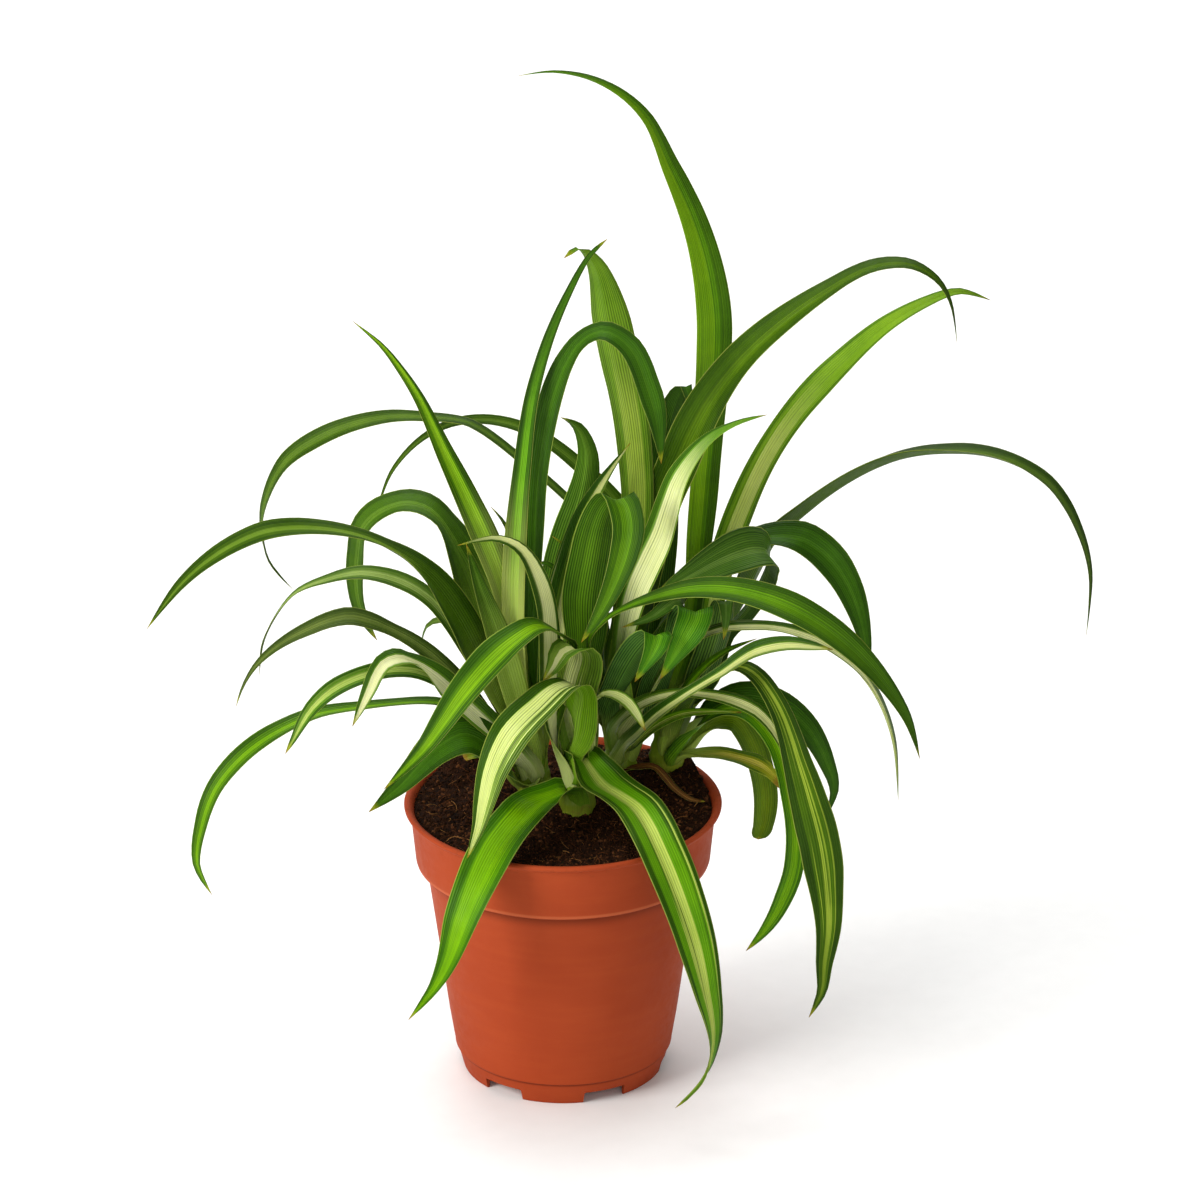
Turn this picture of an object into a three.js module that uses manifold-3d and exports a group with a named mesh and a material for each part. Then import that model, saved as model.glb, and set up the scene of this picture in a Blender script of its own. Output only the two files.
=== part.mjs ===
// Potted spider plant: a moulded nursery pot, its soil, four crowns and their arching leaves.
// Millimetres, +Z up. The pot stands on z = 0 with its axis on the Z axis.

import * as THREE from 'three';
import { mergeVertices } from 'three/addons/utils/BufferGeometryUtils.js';
import Module from 'manifold-3d';

const wasm = await Module();
wasm.setup();

// ---- driving dimensions -------------------------------------------------------------------

const RIM_RADIUS = 76;          // outside of the lip bead
const POT_HEIGHT = 138;
const WALL = 1.4;
const BAND_BOTTOM = 108;        // where the wide rim band steps in to the body
const BAND_RADIUS = 73;         // band just under the lip
const BODY_RADIUS = 65.7;       // body just under the band
const FOOT_RADIUS = 48.7;
const RIDGE_HEIGHT = 12;        // thin raised line above the foot
const PAD_RADIUS = 18;          // flat pad under the middle of the floor
const RING_RADIUS = 40.5;       // inner standing ring, just short of the ground
const FLOOR_UNDERSIDE = 7;
const POT_SIDES = 48;
const SOIL_SIDES = 36;
const CROWN_SIDES = 12;

const NOTCH_COUNT = 6;          // drainage notches round the foot
const NOTCH_HEIGHT = 6;
const NOTCH_WIDTH = 21;
const FIRST_NOTCH = 234;        // degrees from +X, anticlockwise seen from above

const SOIL_LEVEL = 134.3;       // soil against the wall, below the rim
const TOUCH_GAP = 0.3;          // left between pieces that touch

const VEE = 0.3;                // how far the blade's edges stand above its midrib, per half width
const RIB = 1.3;                // blade thickness at the midrib, near the base
const TIP_RIB = 0.7;            // and near the tip
const STEPS_PER_STRETCH = 2;    // rings between one midrib point and the next
const SAMPLES_PER_STRETCH = 8;  // points that measure how far along the midrib a ring is
const GRIP = 0.2;               // share of the leaf that still clasps its crown

const degrees = THREE.MathUtils.degToRad;
const plant = new THREE.Group();

function material(color, roughness) {
  return new THREE.MeshStandardMaterial({ color, roughness, metalness: 0 });
}

function addPiece(name, geometry, finish) {
  const mesh = new THREE.Mesh(geometry, finish);
  mesh.name = name;
  plant.add(mesh);
}

// ---- booleans -----------------------------------------------------------------------------

function toSolid(geometry) {
  const bare = geometry.clone();
  bare.deleteAttribute('normal');
  bare.deleteAttribute('uv');
  const merged = mergeVertices(bare, 1e-4);
  const vertProperties = new Float32Array(merged.attributes.position.array);
  const triVerts = new Uint32Array(merged.index.array);
  return new wasm.Manifold(new wasm.Mesh({ numProp: 3, vertProperties, triVerts }));
}

function toGeometry(solid) {
  const mesh = solid.getMesh();
  const geometry = new THREE.BufferGeometry();
  geometry.setAttribute('position', new THREE.BufferAttribute(mesh.vertProperties, 3));
  geometry.setIndex(new THREE.BufferAttribute(mesh.triVerts, 1));
  geometry.computeVertexNormals();
  return geometry;
}

// A closed solid of revolution about Z, from [radius, height] pairs.
function turned(profile, sides) {
  const outline = profile.map(([radius, height]) => new THREE.Vector2(radius, height));
  const geometry = new THREE.LatheGeometry(outline, sides);
  geometry.rotateX(Math.PI / 2);
  return geometry;
}

// ---- pot ----------------------------------------------------------------------------------

const INNER_WALL = [
  [BAND_RADIUS - 1.6, POT_HEIGHT - 3],
  [70.6 - WALL, BAND_BOTTOM + 2.5],
  [BODY_RADIUS - WALL, BAND_BOTTOM - 3],
  [63.3 - WALL, 90],
  [52.7 - WALL, RIDGE_HEIGHT + 2],
  [50.2 - WALL, FLOOR_UNDERSIDE + WALL],
];

function potGeometry() {
  const profile = [
    [0, 0],
    [PAD_RADIUS, 0],
    [PAD_RADIUS + 0.7, FLOOR_UNDERSIDE],
    [RING_RADIUS - 0.9, FLOOR_UNDERSIDE],
    [RING_RADIUS - 0.7, 1],
    [RING_RADIUS + 0.7, 1],
    [RING_RADIUS + 0.9, FLOOR_UNDERSIDE],
    [46.8, FLOOR_UNDERSIDE],
    [46.9, 0],
    [FOOT_RADIUS - 0.5, 0],
    [FOOT_RADIUS, 0.6],
    [51.5, RIDGE_HEIGHT - 1],
    [52.4, RIDGE_HEIGHT],
    [52.6, RIDGE_HEIGHT + 1.2],
    [63.3, 90],
    [BODY_RADIUS, BAND_BOTTOM - 2],
    [66.6, BAND_BOTTOM - 0.6],
    [69.6, BAND_BOTTOM],
    [70.6, BAND_BOTTOM + 1.6],
    [BAND_RADIUS, POT_HEIGHT - 4.5],
    [BAND_RADIUS + 0.4, POT_HEIGHT - 3],
    [RIM_RADIUS - 0.7, POT_HEIGHT - 2.3],
    [RIM_RADIUS, POT_HEIGHT - 1.2],
    [RIM_RADIUS - 0.5, POT_HEIGHT - 0.2],
    [RIM_RADIUS - 1.4, POT_HEIGHT],
    [BAND_RADIUS - 0.2, POT_HEIGHT - 0.4],
    ...INNER_WALL,
    [0, FLOOR_UNDERSIDE + WALL],
  ];
  let solid = toSolid(turned(profile, POT_SIDES));
  for (let i = 0; i < NOTCH_COUNT; i += 1) {
    const angle = degrees(FIRST_NOTCH + (i * 360) / NOTCH_COUNT);
    const cutter = new THREE.BoxGeometry(12, NOTCH_WIDTH, NOTCH_HEIGHT * 2);
    cutter.translate(FOOT_RADIUS, 0, 0);
    cutter.rotateZ(angle);
    solid = solid.subtract(toSolid(cutter));
  }
  return toGeometry(solid);
}

// ---- soil ---------------------------------------------------------------------------------

// Low mounds on the soil: middle x and y, height above SOIL_LEVEL, spread.
const MOUNDS = [
  { x: -44, y: 46, height: 12, spread: 17 },
  { x: 56, y: 42, height: 13, spread: 17 },
  { x: 16, y: 22, height: 5, spread: 34 },
  { x: -14, y: 12, height: 3, spread: 20 },
];

function soilHeight(x, y) {
  let height = SOIL_LEVEL;
  for (const mound of MOUNDS) {
    const distance = Math.hypot(x - mound.x, y - mound.y) / mound.spread;
    height += mound.height * Math.exp(-distance * distance);
  }
  return height + 0.5 * Math.sin(x * 0.21) * Math.cos(y * 0.17);
}

function soilGeometry(crownSolids) {
  const outer = INNER_WALL.map(([radius, height]) => [radius - TOUCH_GAP, height]);
  outer[outer.length - 1][1] += TOUCH_GAP;
  const topRadii = [0, 12, 24, 36, 48, 58, 66, outer[0][0]];
  const wall = outer.map(([radius]) => [radius, 0]);
  const profile = [...topRadii.map((radius) => [radius, POT_HEIGHT]), ...wall.slice(1), [0, 0]];
  const geometry = turned([...profile].reverse(), SOIL_SIDES);
  // the surface takes its mounds, and the side follows the inside of the pot
  const position = geometry.attributes.position;
  const ringCount = profile.length;
  for (let i = 0; i < position.count; i += 1) {
    const ring = ringCount - 1 - (i % ringCount);
    const x = position.getX(i);
    const y = position.getY(i);
    let z = outer[outer.length - 1][1];
    if (ring < topRadii.length) z = soilHeight(x, y);
    else if (ring < ringCount - 1) z = outer[ring - topRadii.length + 1][1];
    position.setZ(i, z);
  }
  let solid = toSolid(geometry);
  for (const crown of crownSolids) solid = solid.subtract(crown);
  return toGeometry(solid);
}

// ---- crowns -------------------------------------------------------------------------------

// Leaves stand round a crown in tiers, the oldest lowest and furthest out.
const TIERS = [
  { radius: 12.5, lift: 4 },
  { radius: 10, lift: 11 },
  { radius: 7.4, lift: 18 },
  { radius: 4.4, lift: 27 },
];

const CROWN_PROFILE = [
  [0, -14],
  [5, -12],
  [8, -4],
  [8.6, 2],
  [7.2, 10],
  [5, 18],
  [2.4, 23],
  [0, 24],
];

function makeCrown(name, x, y) {
  return { name, x, y, z: soilHeight(x, y) };
}

const front = makeCrown('crown_front', 7, -6);
const left = makeCrown('crown_left', -14, 14);
const right = makeCrown('crown_right', 27, 36);
const rear = makeCrown('crown_right_rear', 50, 34);
const crowns = [front, left, right, rear];

function crownGeometry(crown, growth = 0) {
  const profile = CROWN_PROFILE.map(([radius, height]) => [
    radius > 0 ? radius + growth : 0,
    height + Math.sign(height) * growth,
  ]);
  const geometry = turned(profile, CROWN_SIDES);
  geometry.translate(crown.x, crown.y, crown.z);
  return geometry;
}

// Where a leaf leaves its crown, and the level direction across its base.
function socket(crown, bearing, tier) {
  const { radius, lift } = TIERS[tier];
  const angle = degrees(bearing);
  const outward = new THREE.Vector3(Math.cos(angle), Math.sin(angle), 0);
  const point = outward.clone().multiplyScalar(radius);
  point.add(new THREE.Vector3(crown.x, crown.y, crown.z + lift));
  const across = new THREE.Vector3(outward.y, -outward.x, 0);
  return { point, across };
}

// ---- leaves -------------------------------------------------------------------------------

// The value at a share of the way through a list of evenly spaced values.
function listValue(list, share) {
  const at = share * (list.length - 1);
  const index = Math.min(Math.floor(at), list.length - 2);
  return THREE.MathUtils.lerp(list[index], list[index + 1], at - index);
}

function bladeWidth(width, share, taperFrom) {
  const swell = THREE.MathUtils.smoothstep(share, 0, 0.3);
  const base = Math.min(width, Math.max(5, width * 0.32));
  const taper = share < taperFrom ? 1 : Math.pow((1 - share) / (1 - taperFrom), 0.8);
  return THREE.MathUtils.lerp(base, width, swell) * taper;
}

// A thin V-shaped blade swept along a midrib. The heading is the compass way the leaf arches
// to, in degrees from +X; roll turns the blade about its midrib, in degrees, base to tip.
// A leaf has one width and tapers evenly, or lists its widths from base to tip.
function leafGeometry(leaf) {
  const { crown, bearing, tier, heading, width, widths, roll, taperFrom = 0.45, midrib } = leaf;
  const { point, across } = socket(crown, bearing, tier);
  const points = [point, ...midrib.map(([x, y, z]) => new THREE.Vector3(x, y, z))];
  const curve = new THREE.CatmullRomCurve3(points, false, 'centripetal');
  const stretches = points.length - 1;
  const lengths = curve.getLengths(stretches * SAMPLES_PER_STRETCH);
  const total = lengths[lengths.length - 1];
  const way = degrees(heading);
  const level = new THREE.Vector3(Math.sin(way), -Math.cos(way), 0);
  const corners = [];
  const rings = stretches * STEPS_PER_STRETCH;
  for (let i = 0; i < rings; i += 1) {
    const centre = curve.getPoint(i / rings);
    const along = curve.getTangent(i / rings);
    const share = lengths[(i * SAMPLES_PER_STRETCH) / STEPS_PER_STRETCH] / total;
    const side = level.clone().addScaledVector(along, -level.dot(along)).normalize();
    side.applyAxisAngle(along, -degrees(listValue(roll, share)));
    // the base clasps its crown by whichever way round needs the smaller twist
    if (i === 0 && across.dot(side) < 0) across.negate();
    const clasp = across.clone().addScaledVector(along, -across.dot(along)).normalize();
    const free = THREE.MathUtils.smoothstep(share, 0, GRIP);
    side.lerp(clasp, 1 - free);
    side.addScaledVector(along, -side.dot(along)).normalize();
    const up = side.clone().cross(along);
    const half = (widths ? listValue(widths, share) : bladeWidth(width, share, taperFrom)) / 2;
    const rib = THREE.MathUtils.lerp(RIB, TIP_RIB, share) / 2;
    const lift = (half * VEE) / 2;
    corners.push(
      centre.clone().addScaledVector(side, half).addScaledVector(up, lift),
      centre.clone().addScaledVector(up, -lift - rib),
      centre.clone().addScaledVector(side, -half).addScaledVector(up, lift),
      centre.clone().addScaledVector(up, rib - lift),
    );
  }
  corners.push(points[points.length - 1]);
  const faces = [0, 3, 1, 1, 3, 2];
  for (let ring = 0; ring < rings; ring += 1) {
    for (let k = 0; k < 4; k += 1) {
      const a = ring * 4 + k;
      const b = ring * 4 + ((k + 1) % 4);
      // both faces of a half blade are split the same way, so that a twist can't cross them
      if (ring === rings - 1) faces.push(a, b, rings * 4);
      else if (k % 2 === 0) faces.push(a, b, b + 4, a, b + 4, a + 4);
      else faces.push(a, b, a + 4, b, b + 4, a + 4);
    }
  }
  const geometry = new THREE.BufferGeometry().setFromPoints(corners);
  geometry.setIndex(faces);
  geometry.computeVertexNormals();
  return geometry;
}

const GREEN = 0x4f8a2a;
const DARK = 0x2f5a1c;
const LIGHT = 0x86b04a;
const CREAM = 0xb9c48a;
const DRY = 0x7a4a26;

const FRONT_LEAVES = [
  {
    name: 'leaf_front_right_drop', colour: LIGHT, bearing: 300, tier: 3, heading: 300,
    widths: [11, 23, 24, 25, 25, 23, 19.5, 15.5, 11, 6.5, 2],
    roll: [0, 0, 0, 0, 30, 60],
    midrib: [
      [19, -26, 159], [35, -46, 156], [45, -66, 146], [56, -83, 124], [63, -92, 104],
      [68, -97, 82], [71, -99, 62], [68, -99, 43], [61, -98, 32], [53, -97, 23],
    ],
  },
  {
    name: 'leaf_front_left_drop', colour: GREEN, bearing: 240, tier: 1, heading: 232,
    widths: [8, 20, 24, 24, 24, 21, 17, 11, 5, 1],
    roll: [0, 5, 10],
    midrib: [
      [-11, -26, 150], [-19, -48, 153], [-30, -66, 146], [-39, -80, 133], [-47, -89, 116],
      [-53, -93, 99], [-60, -95, 85], [-72, -96, 69],
    ],
  },
  {
    name: 'leaf_front_cream', colour: CREAM, bearing: 180, tier: 3, heading: 235,
    widths: [6, 14.5, 14.5, 14.5, 17, 21.5, 23, 22, 17.5, 12.5, 6.5, 1],
    roll: [0, 0, 0, 5, 10],
    midrib: [
      [7, -8, 175], [8, -11, 189], [9, -17, 201], [6, -26, 210], [-1, -37, 213], [-10, -48, 209],
      [-23, -61, 200], [-32, -68, 184], [-39, -76, 158], [-44, -84, 147],
    ],
  },
  {
    name: 'leaf_long_front_left', colour: GREEN, bearing: 140, tier: 2, heading: 207,
    widths: [4, 4.5, 4.5, 5, 7.5, 14.5, 18, 16, 11.5, 6.5, 1],
    roll: [0, 0, -10, 10, 30, 40, 45],
    midrib: [
      [-2, 3, 178], [1, 5, 200], [5, -3, 221], [1, -9, 227], [-5, -16, 234], [-13, -25, 239],
      [-31, -38, 230], [-48, -49, 213], [-64, -58, 192], [-83, -66, 174],
    ],
  },
  {
    name: 'leaf_short_folded', colour: CREAM, bearing: 60, tier: 3, heading: 235,
    widths: [5, 5, 8.5, 20, 22, 22, 19, 14, 8, 1],
    roll: [0, 0, 0, 0],
    midrib: [
      [5, 0, 178], [4, -4, 197], [6, -7, 209], [8, -12, 219], [6, -18, 226], [0, -22, 225],
      [-4, -24, 218], [-9, -25, 211],
    ],
  },
  {
    name: 'leaf_centre_folded', colour: GREEN, bearing: 70, tier: 2, heading: 270,
    widths: [4, 6.5, 9, 16, 21.5, 23, 22, 20.5, 16.5, 15.5, 15, 11, 7, 1],
    roll: [0, 0, 0],
    midrib: [
      [8, 8, 187], [10, 10, 205], [11, 9, 220], [11, 5, 240], [14, 1, 262], [18, -6, 285],
      [22, -11, 296], [27, -18, 301], [31, -27, 290], [25, -34, 267], [16, -37, 248],
      [9, -39, 237],
    ],
  },
  {
    name: 'leaf_right_twisted', colour: GREEN, bearing: 40, tier: 2, heading: 355,
    widths: [4, 4.5, 4.5, 6, 4, 8.5, 12, 14, 16, 15, 12, 7.5, 1],
    roll: [-20, -20, -20, -20, -30, -35, -35, -30, -30],
    midrib: [
      [13, 3, 178], [13, 3, 205], [13, -3, 224], [19, -8, 234], [26, -12, 241], [38, -18, 249],
      [60, -25, 258], [83, -30, 259], [107, -36, 253], [129, -41, 240], [148, -46, 222],
      [161, -51, 203], [167, -56, 185],
    ],
  },
  {
    name: 'leaf_small_cream_hook', colour: CREAM, bearing: 8, tier: 2, heading: 330,
    widths: [4, 4.5, 5, 7.5, 9.5, 6.5, 8, 6, 1],
    roll: [0, 0, -10, -20],
    midrib: [
      [15, -5, 167], [14, -6, 182], [14, -9, 192], [18, -12, 198], [23, -15, 200], [30, -19, 198],
      [35, -23, 193], [39, -26, 186],
    ],
  },
  {
    name: 'leaf_cream_edge_upright', colour: CREAM, bearing: 105, tier: 2, heading: 20,
    width: 12, roll: [-30, -55],
    midrib: [
      [-4, 12, 187], [-3, 15, 217], [3, 14, 253], [10, 12, 280], [20, 13, 299], [32, 14, 316],
    ],
  },
  {
    name: 'leaf_cream_tip_left', colour: CREAM, bearing: 188, tier: 2, heading: 185,
    width: 11, roll: [30, 55],
    midrib: [
      [-6, -3, 180], [-7, -5, 213], [-8, -8, 242], [-13, -9, 260], [-20, -9, 272], [-31, -9, 277],
      [-49, -8, 273],
    ],
  },
];

const LEFT_LEAVES = [
  {
    name: 'leaf_dark_arch', colour: DARK, bearing: 0, tier: 3, heading: 345,
    widths: [6, 7.5, 9, 10.5, 12, 13, 13.5, 12.5, 8, 11, 11.5, 1],
    roll: [-60, -70, -60, -55],
    midrib: [
      [-13, 11, 191], [-14, 8, 239], [-13, 5, 280], [-10, 1, 317], [-3, -4, 351], [8, -9, 375],
      [20, -15, 383], [32, -19, 376], [39, -23, 361], [44, -27, 344], [46, -30, 323],
    ],
  },
  {
    name: 'leaf_thin_upright', colour: GREEN, bearing: 270, tier: 3, heading: 10,
    widths: [5, 8, 9, 9.5, 9.5, 8.5, 7, 5.5, 3.5, 1.5],
    roll: [-60, -60],
    midrib: [
      [-21, 6, 194], [-23, 2, 241], [-21, -1, 283], [-18, -2, 314], [-14, -4, 345], [-6, -4, 375],
      [4, -6, 400], [13, -7, 417], [21, -10, 426],
    ],
  },
  {
    name: 'leaf_left_diagonal', colour: GREEN, bearing: 180, tier: 3, heading: 185,
    width: 12, roll: [40, 65, 60],
    midrib: [
      [-22, 16, 214], [-31, 18, 250], [-44, 21, 282], [-56, 22, 309], [-67, 24, 334],
      [-76, 27, 348], [-85, 30, 359], [-98, 32, 370],
    ],
  },
  {
    name: 'leaf_left_hook', colour: DARK, bearing: 110, tier: 2, heading: 165,
    widths: [6, 9, 12, 14.5, 16, 16, 14, 11.5, 9.5, 9, 7.5, 6.5, 5, 1],
    roll: [50, 50, 20, -25, 15, 45, 45],
    midrib: [
      [-22, 23, 176], [-32, 28, 210], [-42, 33, 238], [-49, 36, 253], [-57, 40, 266],
      [-65, 43, 272], [-75, 46, 273], [-83, 48, 270], [-91, 51, 264], [-97, 54, 255],
      [-99, 56, 243], [-100, 58, 229], [-99, 59, 216], [-96, 60, 206], [-90, 60, 195],
    ],
  },
  {
    name: 'leaf_long_left', colour: GREEN, bearing: 209, tier: 2, heading: 183,
    widths: [6, 11, 16, 19.5, 19.5, 15.5, 9.5, 10, 10, 8.5, 5.5, 1],
    roll: [40, 50, 45, 30, 0, 20, 45, 45, 40],
    midrib: [
      [-25, 5, 174], [-38, 0, 209], [-49, -6, 236], [-59, -10, 254], [-69, -15, 267],
      [-80, -20, 277], [-93, -25, 285], [-113, -30, 291], [-137, -36, 292], [-160, -43, 283],
      [-177, -50, 270], [-192, -56, 251],
    ],
  },
  {
    name: 'leaf_left_high_arc', colour: GREEN, bearing: 160, tier: 2, heading: 180,
    widths: [6, 7, 7.5, 8.5, 9, 9, 8, 6, 4, 4, 1],
    roll: [50, 45, 45, 10, -20],
    midrib: [
      [-30, 16, 178], [-47, 19, 210], [-62, 22, 232], [-77, 25, 241], [-96, 28, 244],
      [-113, 31, 239], [-127, 33, 232], [-137, 36, 219], [-144, 38, 203], [-146, 40, 185],
    ],
  },
  {
    name: 'leaf_left_mid_arc', colour: GREEN, bearing: 190, tier: 1, heading: 178,
    widths: [6, 7.5, 8.5, 9, 8.5, 7, 10, 8.5, 5.5, 3, 1],
    roll: [45, 45, 40, 40, 30],
    midrib: [
      [-32, 8, 171], [-49, 8, 196], [-65, 7, 213], [-81, 6, 224], [-101, 3, 232], [-120, 0, 227],
      [-135, -5, 220], [-145, -10, 212], [-151, -15, 203], [-154, -19, 195],
    ],
  },
  {
    name: 'leaf_left_small_hook', colour: DARK, bearing: 145, tier: 1, heading: 160,
    width: 9, roll: [20, 30],
    midrib: [[-30, 26, 176], [-42, 31, 204], [-56, 34, 217], [-65, 36, 213], [-69, 37, 196]],
  },
  {
    name: 'leaf_low_long_left', colour: GREEN, bearing: 205, tier: 0, heading: 187,
    widths: [5, 7, 8.5, 9, 9, 9.5, 10.5, 11, 10.5, 9, 6, 2.5],
    roll: [20, 10, 0, 8, 25, 40, 45],
    midrib: [
      [-32, 1, 164], [-45, -3, 185], [-60, -7, 192], [-77, -12, 194], [-96, -17, 194],
      [-115, -22, 193], [-131, -29, 189], [-148, -36, 180], [-163, -42, 164], [-170, -48, 146],
      [-172, -53, 129], [-165, -57, 115],
    ],
  },
  {
    name: 'leaf_left_light_stripe', colour: LIGHT, bearing: 228, tier: 1, heading: 195,
    widths: [6, 7, 7.5, 8.5, 9, 9, 9, 9, 6.5, 1],
    roll: [50, 45, 40],
    midrib: [
      [-31, -3, 176], [-51, -12, 201], [-70, -21, 215], [-89, -31, 218], [-107, -41, 214],
      [-118, -49, 206], [-125, -55, 195], [-129, -59, 189],
    ],
  },
  {
    name: 'leaf_left_cream_twist', colour: CREAM, bearing: 268, tier: 1, heading: 200,
    widths: [6, 9, 12, 13.5, 14.5, 15, 14, 9, 6.5, 1],
    roll: [60, 60, 60, 55, 0, 55, 60],
    midrib: [
      [-26, -5, 171], [-39, -14, 188], [-53, -21, 205], [-65, -26, 219], [-75, -31, 226],
      [-84, -37, 225], [-90, -43, 215], [-98, -48, 198],
    ],
  },
  {
    name: 'leaf_left_low_front', colour: DARK, bearing: 250, tier: 0, heading: 205,
    width: 14, roll: [10, 20, 20],
    midrib: [
      [-22, -9, 152], [-32, -16, 172], [-46, -24, 184], [-60, -31, 179], [-75, -39, 165],
      [-91, -46, 153],
    ],
  },
  {
    name: 'leaf_short_pointed', colour: GREEN, bearing: 265, tier: 2, heading: 185,
    width: 14, roll: [60, 70], taperFrom: 0.55,
    midrib: [[-24, -2, 200], [-32, -4, 230], [-39, -6, 252], [-45, -6, 273]],
  },
  {
    name: 'leaf_dark_striped_tip', colour: DARK, bearing: 100, tier: 3, heading: 190,
    width: 8, roll: [50, 60],
    midrib: [[-19, 25, 212], [-23, 25, 248], [-27, 24, 270], [-34, 23, 280]],
  },
  {
    name: 'leaf_small_soil_left', colour: GREEN, bearing: 170, tier: 0, heading: 180,
    width: 6, roll: [10, 30],
    midrib: [[-34, 7, 156], [-40, 4, 160], [-47, 0, 160]],
  },
  {
    name: 'leaf_broad_behind', colour: GREEN, bearing: 60, tier: 2, heading: 270,
    width: 18, roll: [0, 0, -10], taperFrom: 0.65,
    midrib: [
      [-9, 28, 170], [-5, 33, 207], [0, 38, 246], [9, 41, 276], [12, 42, 299], [7, 40, 314],
      [-1, 34, 321],
    ],
  },
];

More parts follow.
